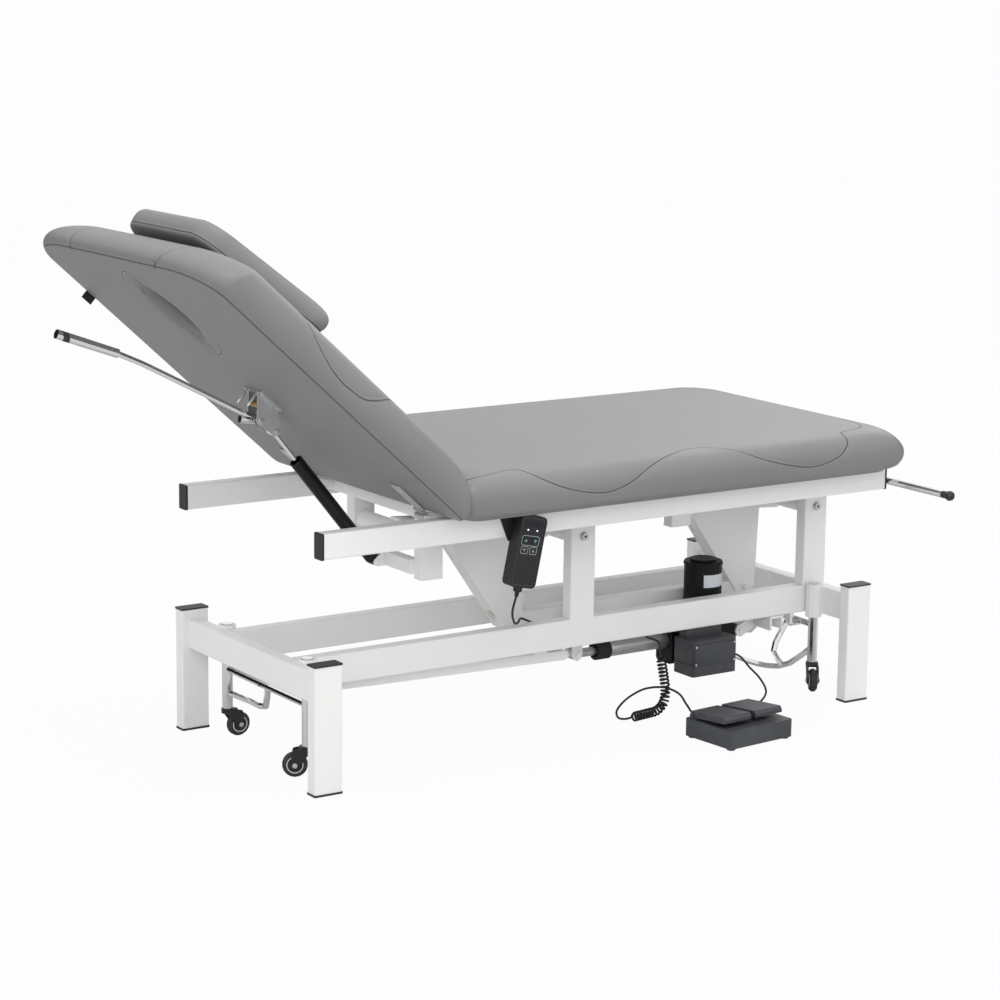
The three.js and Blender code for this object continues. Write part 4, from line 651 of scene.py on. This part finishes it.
class Pad:
    """A sewn cushion laid flat: rings round its underside, side and top, each closed by a middle point."""

    END_DOTS, CORNER_DOTS, LEAST_SIDE_DOTS, SIDE_STEP = 44, 26, 60, 6 * MM
    DEEP_SHARE, LEAST_SHARE = 0.3, 0.02
    SWELL_TO, SHRINK_FROM, LEAST_CORNER = 45 * MM, 60 * MM, 10 * MM
    CORNER_LONG_SHARE, CORNER_WIDE_SHARE = 0.48, 0.8

    def __init__(self, x0, x1, half, low_corner, high_corner, grow):
        self.x0, self.x1, self.half = x0, x1, half
        self.low_corner, self.high_corner, self.grow = low_corner, high_corner, grow
        self.mid, self.long = (x0 + x1) / 2, (x1 - x0) / 2
        self.reach = min(half, self.long)
        self.deep = self.DEEP_SHARE * self.reach
        self.side_dots = max(self.LEAST_SIDE_DOTS, round((x1 - x0) / self.SIDE_STEP))
        self.count = 2 * (2 * self.END_DOTS + 2 * self.CORNER_DOTS + self.side_dots)

    def corner(self, size, inset, x0, x1, half):
        """How far a corner's curve reaches along and across a ring."""
        swell = self.grow * min(max(inset, 0.0), self.SWELL_TO)
        shrink = max(0.0, inset - self.SHRINK_FROM)
        rooms = ((x1 - x0) * self.CORNER_LONG_SHARE, half * self.CORNER_WIDE_SHARE)
        return [
            max(min(side, self.LEAST_CORNER), min(side + swell - shrink, room))
            for side, room in zip(size, rooms)
        ]

    def ring(self, inset):
        """A ring from the high end's middle round to it again; deep rings shrink evenly."""
        if inset > self.deep:
            share = max(self.LEAST_SHARE, (self.reach - inset) / (self.reach - self.deep))
            return [(self.mid + (x - self.mid) * share, y * share) for x, y in self.ring(self.deep)]
        x0, x1, half = self.x0 + inset, self.x1 - inset, self.half - inset
        ha, hc = self.corner(self.high_corner, inset, x0, x1, half)
        la, lc = self.corner(self.low_corner, inset, x0, x1, half)
        dots = [(x1, (half - hc) * i / self.END_DOTS) for i in range(self.END_DOTS)]
        for i in range(self.CORNER_DOTS):
            a = math.pi / 2 * i / self.CORNER_DOTS
            dots.append((x1 - ha + ha * math.cos(a), half - hc + hc * math.sin(a)))
        for i in range(self.side_dots):
            dots.append((x1 - ha + (x0 + la - x1 + ha) * (i / self.side_dots), half))
        for i in range(self.CORNER_DOTS):
            a = math.pi / 2 * i / self.CORNER_DOTS
            dots.append((x0 + la - la * math.sin(a), half - lc + lc * math.cos(a)))
        for i in range(self.END_DOTS + 1):
            dots.append((x0, (half - lc) * (1 - i / self.END_DOTS)))
        return dots + [(x, -y) for x, y in dots[-2:0:-1]]

    def walks(self):
        """How far round the half outline each dot of the plain ring is, the same on both halves."""
        dots = self.ring(0.0)
        middle = len(dots) // 2
        walk = [0.0]
        for a, b in zip(dots[:middle], dots[1:middle + 1]):
            walk.append(walk[-1] + math.dist(a, b))
        return walk + walk[-2:0:-1]

    def walk_at(self, x, y):
        """How far round the half outline its nearest dot to a place is."""
        dots, walks = self.ring(0.0), self.walks()
        nearest = min(range(len(dots) // 2 + 1), key=lambda i: math.dist(dots[i], (x, y)))
        return walks[nearest]


UNDER, SIDE, TOP = "under", "side", "top"
PROFILE_DOTS, SKIN_STEP, MIDDLE_GAP = 24, 2.6 * MM, 5 * MM
TOP_END, TOP_FINE_WIDE, TOP_FINE_STEP, TOP_STEP = 16 * MM, 60 * MM, 4 * MM, 11 * MM
UNDER_END, UNDER_STEP = 4 * MM, 9 * MM
CROWN_ALONG, CROWN_ACROSS, PUFF_POWER, WALL_POWER = 3.2, 2.4, 6, 31
SEAM_DIG, SEAM_PUCKER, CALM_EDGE, WALL_OVER = 0.9, 0.5, 12 * MM, 1.02


def pad_levels(pad, rows):
    """A pad's rings as inset, height, arc up from its lower edge and part, with both edges' insets."""
    profile = even(smooth_line([(u, 0, v) for u, v in rows], PROFILE_DOTS, 1), SKIN_STEP)
    low, high = profile[0], profile[-1]
    arcs = [0.0]
    for a, b in zip(profile, profile[1:]):
        arcs.append(arcs[-1] + (b - a).length)
    under, inset = [], pad.reach - MIDDLE_GAP
    while inset > low.x + UNDER_END:
        under.append((inset, low.z, -(inset - low.x), UNDER))
        inset -= UNDER_STEP
    side = [(dot.x, dot.z, arc, SIDE) for dot, arc in zip(profile, arcs)]
    top, inset = [], high.x
    while inset < pad.reach - TOP_END:
        inset += TOP_FINE_STEP if inset < high.x + TOP_FINE_WIDE else TOP_STEP
        top.append((min(inset, pad.reach - MIDDLE_GAP), high.z, arcs[-1] + inset - high.x, TOP))
    return under + side + top, low.x, high.x


def waves(x, y, z):
    return noise.noise(Vector((x, y, z)))


def shape_pad(name, pad, rows, crown, slack, material, lines, puff=0.0, rear=None, bend=None):
    """Makes a pad from the rows of its side and the sewn lines on it."""
    levels, low_inset, high_inset = pad_levels(pad, rows)

    def top_spot(x, y, z, pull):
        """Crowns the top, and sinks it by a seam."""
        u = min(1.0, abs(x - pad.mid) / (pad.long - high_inset))
        v = min(1.0, abs(y) / (pad.half - high_inset))
        dome = (1 - u ** CROWN_ALONG) * (1 - v ** CROWN_ACROSS)
        lift = crown * dome + slack * dome * waves(x * 4.5, y * 4.5, 1.7)
        return Vector((x, y, z + lift - slack * SEAM_DIG * pull))

    def under_spot(x, y, z):
        """Puffs the underside down between its edges."""
        u = min(1.0, abs(x - pad.mid) / (pad.x1 - pad.mid - low_inset))
        v = min(1.0, abs(y) / (pad.half - low_inset))
        sag = 0.6 + 0.9 * waves(x * 3.1, y * 3.7, 5.0)
        drop = puff * (1 - u ** PUFF_POWER) * (1 - v ** PUFF_POWER) * sag
        return Vector((x, y, z - drop))

    def side_spot(x, y, z, arc, off, run, pull):
        """Lets the side wander, and digs and puckers it in by a seam."""
        wander = slack * waves(x * 5, y * 5, z * 9 + 3) * min(1.0, arc / CALM_EDGE)
        pucker = slack * SEAM_PUCKER * pull * waves(run * 60, 0, off * 40)
        dig = slack * SEAM_DIG * pull + pucker + wander
        out_x = max(-1.0, min(1.0, (x - pad.mid) / pad.long * WALL_OVER)) ** WALL_POWER
        out_y = max(-1.0, min(1.0, y / pad.half * WALL_OVER)) ** WALL_POWER
        return Vector((x - out_x * dig, y - out_y * dig, z))

    walks = pad.walks()
    seams = Seams(lines)
    spots, offs, fars, runs = [], [], [], []
    for inset, z, arc, part in levels:
        for walk, (x, y) in zip(walks, pad.ring(inset)):
            off, run = seams.look(walk, arc)
            pull = math.exp(-((off / PULL_WIDE) ** 2))
            if part == TOP:
                spot = top_spot(x, y, z, pull)
            elif part == SIDE:
                spot = side_spot(x, y, z, arc, off, run, pull)
            else:
                spot = under_spot(x, y, z)
                if rear:
                    off, run, sink = rear(x, y)
                    spot.z += sink
            far = abs(off) > NEAR
            spots.append(spot)
            offs.append(NEAR if far else off)
            fars.append(1.0 if far else 0.0)
            runs.append(run)
    count = pad.count
    faces = wall_between(len(levels), count)
    for base, up in ((0, False), ((len(levels) - 1) * count, True)):
        middle = len(spots)
        spots.append(sum(spots[base:base + count], Vector()) / count)
        offs.append(NEAR)
        fars.append(1.0)
        runs.append(0.0)
        for i in range(count):
            rim = (base + i, base + (i + 1) % count)
            faces.append((*(rim if up else rim[::-1]), middle))
    if bend:
        spots = [bend(s) for s in spots]
    piece = make(name, spots, faces, material)
    mark_points(piece, {"seam_off": offs, "seam_far": fars, "seam_run": runs})
    return piece


def settle(piece, body, node):
    """Puts a padded piece on its body, in place of the CAD's node."""
    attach(piece, body)
    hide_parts(node)


def sewn_line(pad, marks):
    """A sewn line through marks of (x and y on the outline, arc up the side from the underside)."""
    return smooth_line([(pad.walk_at(x * MM, y * MM), arc * MM, 0) for x, y, arc in marks], 16, 1)


def edge_line(pad, arc):
    """A sewn line that runs at one level the whole way round."""
    past, step = 20, 4
    end = round(pad.walk_at(pad.x0, 0) / MM) + past
    return [Vector((walk * MM, arc, 0)) for walk in range(-past, end, step)]


def side_rows(low, rows):
    """A side's profile in metres, from rows of (inset, height over its lower edge) in mm."""
    return [(u * MM, (low + v) * MM) for u, v in rows]


# Seat cushion: its marks are x and y on the outline and the arc up the side, mm
PAD_HALF = 0.366
SEAT_LOW = 509.4
seat_plan = Pad(-0.398, 0.728, PAD_HALF, (0.017, 0.017), (0.058, 0.062), 0.45)
seat_rows = side_rows(SEAT_LOW, [
    (30, 0), (27, 0.4), (26, 3), (23, 6.2), (16, 7.6), (10, 12), (5, 22), (1.5, 34), (0, 46),
    (1.5, 58), (6.5, 69), (14.5, 78), (26, 85), (42, 89.4), (62, 91.2),
])
seat_marks = [
    (728, 236, 20), (728, 240, 60), (728, 246, 100), (728, 256, 134), (612, 366, 131), (546, 366, 85),
    (509, 366, 62), (450, 366, 49), (383, 366, 58), (307, 366, 81), (248, 366, 113), (185, 366, 137),
    (100, 366, 117), (34, 366, 89), (-20, 366, 62), (-67, 366, 48), (-115, 366, 51), (-175, 366, 67),
    (-228, 366, 89), (-276, 366, 110), (-325, 366, 129), (-379, 366, 117), (-398, 340, 86), (-398, 322, 20),
]
SLOPE_BACK, SLOPE_FROM_X, SLOPE_LONG, SLOPE_FROM_Z, SLOPE_HIGH = 17 * MM, 0.60, 0.12, 0.530, 0.062


def soft_foot(spot):
    """Slopes the foot end back towards its top."""
    along, up = (spot.x - SLOPE_FROM_X) / SLOPE_LONG, (spot.z - SLOPE_FROM_Z) / SLOPE_HIGH
    return Vector((spot.x - SLOPE_BACK * ease(along) * ease(up), spot.y, spot.z))


seat_pad = shape_pad(
    "seat_pad", seat_plan, seat_rows, crown=7 * MM, slack=1.5 * MM, material=seat_vinyl,
    lines=[sewn_line(seat_plan, seat_marks)], bend=soft_foot,
)
settle(seat_pad, "upper_frame", "seat_cushion")

# Back cushion: laid flat with its hinge at the origin, then tipped
HINGE = Vector((-0.4069, 0, 0.503))
TIP = math.radians(42)
tipped = Matrix.Translation(HINGE) @ Matrix.Rotation(TIP, 4, "Y")
BACK_LOW, BACK_HEAD, BACK_HIP = 12, -0.749, -0.004
HIP_GAP = 6.2 * MM
HEAD_BACK, HEAD_FROM_X, HEAD_LONG, HEAD_FROM_Z, HEAD_HIGH = 24 * MM, -0.60, 0.13, 0.014, 0.08


def to_back(spot):
    """Presses the hip end upright, slopes the head end back and tips the backrest to its rest angle."""
    end = (HIP_GAP - spot.z * math.sin(TIP)) / math.cos(TIP)
    x = BACK_HEAD + (spot.x - BACK_HEAD) * (end - BACK_HEAD) / (BACK_HIP - BACK_HEAD)
    along, up = (HEAD_FROM_X - spot.x) / HEAD_LONG, (spot.z - HEAD_FROM_Z) / HEAD_HIGH
    return tipped @ Vector((x + HEAD_BACK * ease(along) * ease(up), spot.y, spot.z))


NEAR_NOTHING = 1e-6
SLOT_FROM, SLOT_TO, SLOT_HALF = 0.513, 0.645, 0.036
SLOT_MID, SLOT_LONG = -(SLOT_FROM + SLOT_TO) / 2, (SLOT_TO - SLOT_FROM) / 2
RIM_SEAM_AWAY, RIM_SINK, RIM_SINK_WIDE = 60 * MM, 9 * MM, 19 * MM
RIM_FOLD, RIM_FOLD_WIDE = 4.5 * MM, 50 * MM


def slot_rim(x, y):
    """The sewn line round the face slot on the rear panel, and how the panel sinks and folds towards it."""
    u, v = (x - SLOT_MID) / SLOT_LONG, y / SLOT_HALF
    out = math.hypot(u, v) or NEAR_NOTHING
    away = (out - 1) * math.hypot(x - SLOT_MID, y) / out
    sink = RIM_SINK * math.exp(-((max(0.0, away) / RIM_SINK_WIDE) ** 2))
    ends = abs(u / out) ** 4
    fold = waves(math.atan2(v, u) * 9, 2.0, away * 12) * ends * math.exp(-((away / RIM_FOLD_WIDE) ** 2))
    return away - RIM_SEAM_AWAY, 0.0, sink + RIM_FOLD * fold


back_plan = Pad(BACK_HEAD, BACK_HIP, PAD_HALF, (0.062, 0.150), (0.014, 0.014), 0.2)
back_rows = side_rows(BACK_LOW, [
    (12, 0), (7, 0), (4, 0.3), (2, 1.6), (-3, 7), (-8, 17), (-10.5, 29), (-10, 41), (-6, 53),
    (1, 64), (11, 74), (25, 81.5), (44, 86), (66, 88),
])
back_marks = [
    (-749, 178, 10), (-749, 184, 40), (-749, 192, 75), (-749, 204, 108), (-735, 300, 136), (-640, 366, 140),
    (-570, 366, 126), (-522, 366, 103), (-494, 366, 86), (-471, 366, 70), (-433, 366, 53), (-398, 366, 45),
    (-365, 366, 46), (-331, 366, 50), (-297, 366, 64), (-260, 366, 85), (-220, 366, 108), (-160, 366, 128),
    (-90, 366, 134), (-30, 366, 122), (-4, 360, 104),
]
back_pad = shape_pad(
    "back_pad", back_plan, back_rows, crown=13 * MM, slack=1.7 * MM, material=back_vinyl,
    lines=[sewn_line(back_plan, back_marks), edge_line(back_plan, 11 * MM)],
    puff=1.5 * MM, rear=slot_rim, bend=to_back,
)


def slot_tool():
    """An oval core whose rim flares out at the rear panel, for a rounded lip."""
    levels = [
        (-30, 17), (BACK_LOW + 3, 17), (BACK_LOW + 6, 12), (BACK_LOW + 9.5, 7.5), (BACK_LOW + 14, 3.5),
        (BACK_LOW + 20, 1), (BACK_LOW + 28, 0), (78, 0), (88, 2), (96, 7), (103, 16), (160, 18),
    ]
    lining_seam = (BACK_LOW + 15) * MM
    count = 72
    spots, offs, rounds = [], [], []
    for z, flare in levels:
        for i in range(count):
            a = math.tau * i / count
            x = SLOT_MID + (SLOT_LONG + flare * MM) * math.cos(a)
            spots.append(tipped @ Vector((x, (SLOT_HALF + flare * MM) * math.sin(a), z * MM)))
            offs.append(z * MM - lining_seam)
            rounds.append((SLOT_LONG + SLOT_HALF) / 2 * a)
    last = (len(levels) - 1) * count
    ends = [tuple(reversed(range(count))), tuple(range(last, last + count))]
    core = make("slot_tool", spots, wall_between(len(levels), count) + ends, back_vinyl)
    mark_points(core, {
        "seam_off": [max(-NEAR, min(NEAR, off)) for off in offs],
        "seam_far": [1.0 if abs(off) > NEAR * 1.5 else 0.0 for off in offs],
        "seam_run": rounds,
    })
    return core


tool = slot_tool()
hole = back_pad.modifiers.new("slot", "BOOLEAN")
hole.object = tool
hole.operation = "DIFFERENCE"
hole.solver = "EXACT"
apply_all(back_pad)
bpy.data.objects.remove(tool)
settle(back_pad, "backrest", "back_cushion")

# Pillow: it lies a little above the board, the foam and the cushion's crown
BOARD_THICK, FOAM_THICK, CROWN_ROOM, PILLOW_GAP = 7.2, 80, 14, 0.3
PILLOW_LOW = BACK_LOW + BOARD_THICK + FOAM_THICK + CROWN_ROOM + PILLOW_GAP
PILLOW_HEAD, PILLOW_NECK = 0.705, 0.425
PILLOW_HEAD_HALF, PILLOW_GROWS, PILLOW_HALF = 0.150, 0.118, 0.268


def to_pillow(spot):
    """Narrows the pillow towards the head and tips it with the backrest."""
    t = (spot.x + PILLOW_HEAD) / (PILLOW_HEAD - PILLOW_NECK)
    return tipped @ Vector((spot.x, spot.y * (PILLOW_HEAD_HALF + PILLOW_GROWS * t) / PILLOW_HALF, spot.z))


pillow_plan = Pad(-PILLOW_HEAD, -PILLOW_NECK, PILLOW_HALF, (0.038, 0.066), (0.042, 0.042), 0.15)
pillow_rows = side_rows(PILLOW_LOW, [
    (30, 0), (9, 0.5), (3, 2.5), (1, 7), (-0.6, 15), (-1, 23), (0, 31), (2.5, 37), (7, 42),
    (14, 44.5), (26, 46), (40, 46.5),
])
pillow_pad = shape_pad(
    "pillow_pad", pillow_plan, pillow_rows, crown=5.5 * MM, slack=1.2 * MM, material=pillow_vinyl,
    lines=[edge_line(pillow_plan, 32 * MM), edge_line(pillow_plan, 71 * MM)], bend=to_pillow,
)
settle(pillow_pad, "pillow", "pillow")


# Rigid details, mm
def trim(piece, name, look, body, edge, place):
    """Gives a new piece its place, soft edges, material and body."""
    material, slot = look
    piece.name = name
    if place is not None:
        piece.matrix_basis = place @ piece.matrix_basis
    bpy.ops.object.transform_apply(location=True, rotation=True, scale=True)
    if edge:
        soft = piece.modifiers.new("edge", "BEVEL")
        soft.width = edge * MM
        soft.segments = 3
        soft.limit_method = "ANGLE"
        apply_all(piece)
    bpy.ops.object.shade_smooth_by_angle(angle=math.radians(40))
    piece.data.materials.clear()
    piece.data.materials.append(material)
    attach(piece, body)
    return piece


def block(name, size, at, look, body, edge, place=None):
    """A box with soft edges."""
    bpy.ops.object.select_all(action="DESELECT")
    bpy.ops.mesh.primitive_cube_add(size=MM, location=[v * MM for v in at], scale=size)
    return trim(bpy.context.active_object, name, look, body, edge, place)


def pin(name, start, end, wide, look, body, edge, place=None, tip=None, sides=40):
    """A round bar or, with a tip, a cone."""
    bpy.ops.object.select_all(action="DESELECT")
    a, b = Vector(start) * MM, Vector(end) * MM
    bpy.ops.mesh.primitive_cone_add(
        vertices=sides, radius1=wide / 2 * MM, radius2=(wide if tip is None else tip) / 2 * MM,
        depth=(b - a).length, location=(a + b) / 2, rotation=(b - a).to_track_quat("Z", "X").to_euler(),
    )
    return trim(bpy.context.active_object, name, look, body, edge, place)


def hoop(name, at, axis, wide, wire, look, body, place=None):
    """A round ring about an axis."""
    bpy.ops.object.select_all(action="DESELECT")
    bpy.ops.mesh.primitive_torus_add(
        major_segments=56, minor_segments=12, major_radius=wide / 2 * MM, minor_radius=wire / 2 * MM,
        location=Vector(at) * MM, rotation=Vector(axis).to_track_quat("Z", "X").to_euler(),
    )
    return trim(bpy.context.active_object, name, look, body, 0, place)


BLACK, STEEL = (plastic, "black"), (zinc, "steel")


def hand_details():
    """Two lamps on the hand control's face, and the collar and ribs of its strain relief."""
    place = Matrix.Translation(HAND) @ Matrix.Rotation(HAND_TILT, 4, "Y")
    lamp_high, lamp_from, lamp_to = 43, -12.2, -13.8
    for side, across in (("left", -10.5), ("right", 11)):
        pin(
            f"hand_lamp_{side}", (across, lamp_from, lamp_high), (across, lamp_to, lamp_high), wide=3.4,
            look=(lamp_white, "black"), body="upper_frame", edge=0.6, place=place,
        )
    collar_from, collar_to, first_rib, rib_pitch = -70.5, -81, -82.5, 3
    pin(
        "hand_collar", (0, 0, collar_from), (0, 0, collar_to), wide=19, look=BLACK, body="upper_frame",
        edge=1.6, place=place, tip=17,
    )
    for i in range(3):
        hoop(
            f"hand_relief_rib_{i + 1}", (0, 0, first_rib - rib_pitch * i), (0, 0, 1), wide=7.5 - 0.5 * i,
            wire=2.4, look=BLACK, body="upper_frame", place=place,
        )


CASTOR_X, CASTOR_Y, WHEEL_TRAIL, WHEEL_HIGH = 630, 162, 24, 28
CASTOR_YAWS = {"head_near": 150, "head_far": 0, "foot_near": 237, "foot_far": 20}


def castor_details(quarter):
    """A white hub ring and an axle head on both sides of a castor's wheel."""
    x = -CASTOR_X if quarter.startswith("head") else CASTOR_X
    y = -CASTOR_Y if quarter.endswith("near") else CASTOR_Y
    yaw = math.radians(CASTOR_YAWS[quarter])
    turn = Matrix.Translation((x * MM, y * MM, 0)) @ Matrix.Rotation(yaw, 4, "Z")
    ring_out, head_from, head_to = 8.35, 12.6, 15.4
    for side, way in (("a", -1), ("b", 1)):
        hoop(
            f"hub_ring_{quarter}_{side}", (WHEEL_TRAIL, way * ring_out, WHEEL_HIGH), (0, 1, 0), wide=31,
            wire=2.1, look=(hub_white, "rubber"), body=f"wheel_{quarter}", place=turn,
        )
        pin(
            f"axle_head_{quarter}_{side}", (WHEEL_TRAIL, way * head_from, WHEEL_HIGH),
            (WHEEL_TRAIL, way * head_to, WHEEL_HIGH), wide=10, look=STEEL, body=f"fork_{quarter}",
            edge=1, place=turn,
        )


BRACKET_FACE, BRACKET_SCREW_Y, BRACKET_S = 20.2, 29, ((283, 9), (345, -9))
ROD_PIN, LEVER_PIN = (257.3, -24.7), (300, -30)


def bracket_details():
    """Pins, screws and, as a painted highlight, paler steel strips on the front edges of both cheeks of the
    gas spring's bracket, and its brass spacer.
    """
    for side, way in (("near", -1), ("far", 1)):
        face = way * BRACKET_FACE
        for label, (s, h) in (("rod", ROD_PIN), ("lever", LEVER_PIN)):
            pin(
                f"bracket_pin_{label}_{side}", (-s, face, h), (-s, face + way * 2.6, h), wide=13,
                look=STEEL, body="backrest", edge=0.9, place=tipped,
            )
        for s, inward in BRACKET_S:
            at = (-(s + inward), way * BRACKET_SCREW_Y)
            pin(
                f"bracket_screw_{side}_{s}", (*at, 8), (*at, 5.4), wide=9, look=STEEL,
                body="backrest", edge=1.1, place=tipped,
            )
        # painted highlight: a paler steel strip along each cheek's front edge stands for the light on that
        # edge
        block(
            f"bracket_edge_highlight_{side}", (3.4, 5, 34), (-344, way * 20.5, -9), (edge_highlight_steel, "steel"),
            "backrest", edge=0.8, place=tipped,
        )
    pin("bracket_spacer", (-322, -17, -10), (-322, 17, -10), 11, (brass, "steel"), "backrest", 0.6, tipped)


def switch_details():
    """Four tapered rubber feet under the foot switch."""
    place = Matrix.Translation((SWITCH_X * MM, SWITCH_Y * MM, 0)) @ Matrix.Rotation(SWITCH_YAW, 4, "Z")
    for side, out in (("near", -57), ("far", 57)):
        for end, across in (("a", -74), ("b", 74)):
            pin(
                f"switch_foot_{side}_{end}", (across, out, 0), (across, out, 4.6), wide=17,
                look=(pad_rubber, "rubber"), body="base", edge=1.2, place=place, tip=20,
            )


def box_details():
    """The control box's cover with its four screws, and the grommet of its lead."""
    block("box_cover", (109, 1.6, 46), (348.5, -181, 123), (box_plastic, "black"), "base", edge=0.7)
    screw_from, screw_to = -181.6, -183
    for across in (298, 399):
        for up in (104, 142):
            start, end = (across, screw_from, up), (across, screw_to, up)
            pin(f"box_screw_{across}_{up}", start, end, wide=5.4, look=STEEL, body="base", edge=0.7)
    hoop("box_grommet", (406.6, -158, 107), (1, 0, 0), wide=7.6, wire=3, look=BLACK, body="base")


def bolt_details():
    """A hexagon socket in the head of each lower pivot's bolt."""
    bolt_face, bolt_high = -152.05, 404
    for label, x in (("head", 28.5), ("foot", 642)):
        start, end = (x, bolt_face + 0.4, bolt_high), (x, bolt_face - 0.1, bolt_high)
        pin(f"bolt_socket_{label}", start, end, wide=6, look=BLACK, body="base", edge=0.1, sides=6)


hand_details()
for quarter in QUARTERS:
    castor_details(quarter)
bracket_details()
switch_details()
box_details()
bolt_details()
block(
    "sewn_tag", (26, 0.9, 22), (-569, 366.5, BACK_LOW - 4), (tag_cloth, "vinyl"), "backrest",
    edge=0.3, place=tipped,
)

# Floor, backdrop and lights
FLOOR_GREY, FLOOR_SEEN_SHARE, FLOOR_SIZE = grey(0.62), 0.95, 400
SKY_ON_OBJECT, SKY_SEEN = 0.92, 1.0
WHITE = (1, 1, 1, 1)
SEAT_MIDDLE, CARDS_FACE = (0, 0, 0.5), (0, 0, 0.4)


def stage_paint():
    """A floor that the camera sees almost white, and that still takes the object's shadow."""
    p = Paint("studio_floor")
    seen = p.node("ShaderNodeLightPath", {}, {}, "Is Camera Ray") * FLOOR_SEEN_SHARE
    glow = p.node("ShaderNodeEmission", {}, {"Color": WHITE})
    mixed = p.node("ShaderNodeMixShader", {}, {0: seen, 1: Sum(p, p.shader.outputs[0]), 2: glow})
    p.tree.links.new(mixed.socket, p.tree.nodes["Material Output"].inputs[0])
    return p.finish(Base_Color=FLOOR_GREY, Roughness=0.7)


def studio_world():
    """A white backdrop for the camera, gloss and glass, and a little less light on the object."""
    world = bpy.data.worlds.new("studio")
    bpy.context.scene.world = world
    world.use_nodes = True
    sky = world.node_tree
    rays = sky.nodes.new("ShaderNodeLightPath")
    seen = rays.outputs["Is Camera Ray"]
    for kind in ("Is Glossy Ray", "Is Transmission Ray"):
        either = sky.nodes.new("ShaderNodeMath")
        either.operation = "MAXIMUM"
        sky.links.new(seen, either.inputs[0])
        sky.links.new(rays.outputs[kind], either.inputs[1])
        seen = either.outputs[0]
    level = sky.nodes.new("ShaderNodeMapRange")
    level.inputs["To Min"].default_value = SKY_ON_OBJECT
    level.inputs["To Max"].default_value = SKY_SEEN
    sky.links.new(seen, level.inputs["Value"])
    sky.links.new(level.outputs[0], sky.nodes["Background"].inputs["Strength"])
    sky.nodes["Background"].inputs["Color"].default_value = WHITE


def turned_to(aim, place, axis):
    return (Vector(aim) - Vector(place)).to_track_quat(axis, "Y").to_euler()


def lamp(name, place, size, power):
    """A round softbox that faces the seat's middle."""
    light = bpy.data.lights.new(name, "AREA")
    light.shape = "DISK"
    light.size = size
    light.energy = power
    holder = bpy.data.objects.new(name, light)
    bpy.context.scene.collection.objects.link(holder)
    holder.location = place
    holder.rotation_euler = turned_to(SEAT_MIDDLE, place, "-Z")


def dark_card(name, place, wide, high, material):
    """A black card that only bright metal sees, as a photographer stands one by chrome."""
    bpy.ops.mesh.primitive_plane_add(size=1, location=place)
    card = bpy.context.active_object
    card.name = name
    card.scale = (wide, high, 1)
    card.rotation_euler = turned_to(CARDS_FACE, place, "Z")
    bpy.ops.object.transform_apply(location=False, rotation=True, scale=True)
    card.data.materials.append(material)
    card.visible_camera = False
    card.visible_diffuse = False
    card.visible_shadow = False
    card.visible_transmission = False


bpy.ops.mesh.primitive_plane_add(size=FLOOR_SIZE, location=(0, 0, 0))
floor = bpy.context.active_object
floor.name = "studio_floor"
floor.data.materials.append(stage_paint())
studio_world()
lamp("softbox_over", (-0.4, -1.2, 4.2), size=2.6, power=56)
lamp("softbox_side", (-2.6, -3.8, 2.4), size=2.0, power=30)
lamp("softbox_far", (3.6, 2.2, 3.0), size=2.4, power=30)
card_black = plain("card_black", grey(0.004), 0.9)
for side, place, wide, high in (
    ("left", (-7.5, -3.2, 1.0), 4.2, 3.4), ("right", (1.6, -8.2, 1.0), 4.2, 3.4),
    ("behind_right", (8.0, 0.9, 1.6), 9.0, 4.6), ("behind_left", (-2.2, 7.7, 1.6), 9.0, 4.6),
    ("high", (-2.2, -4.0, 5.2), 8.0, 1.6),
):
    dark_card(f"card_{side}", place, wide, high, card_black)
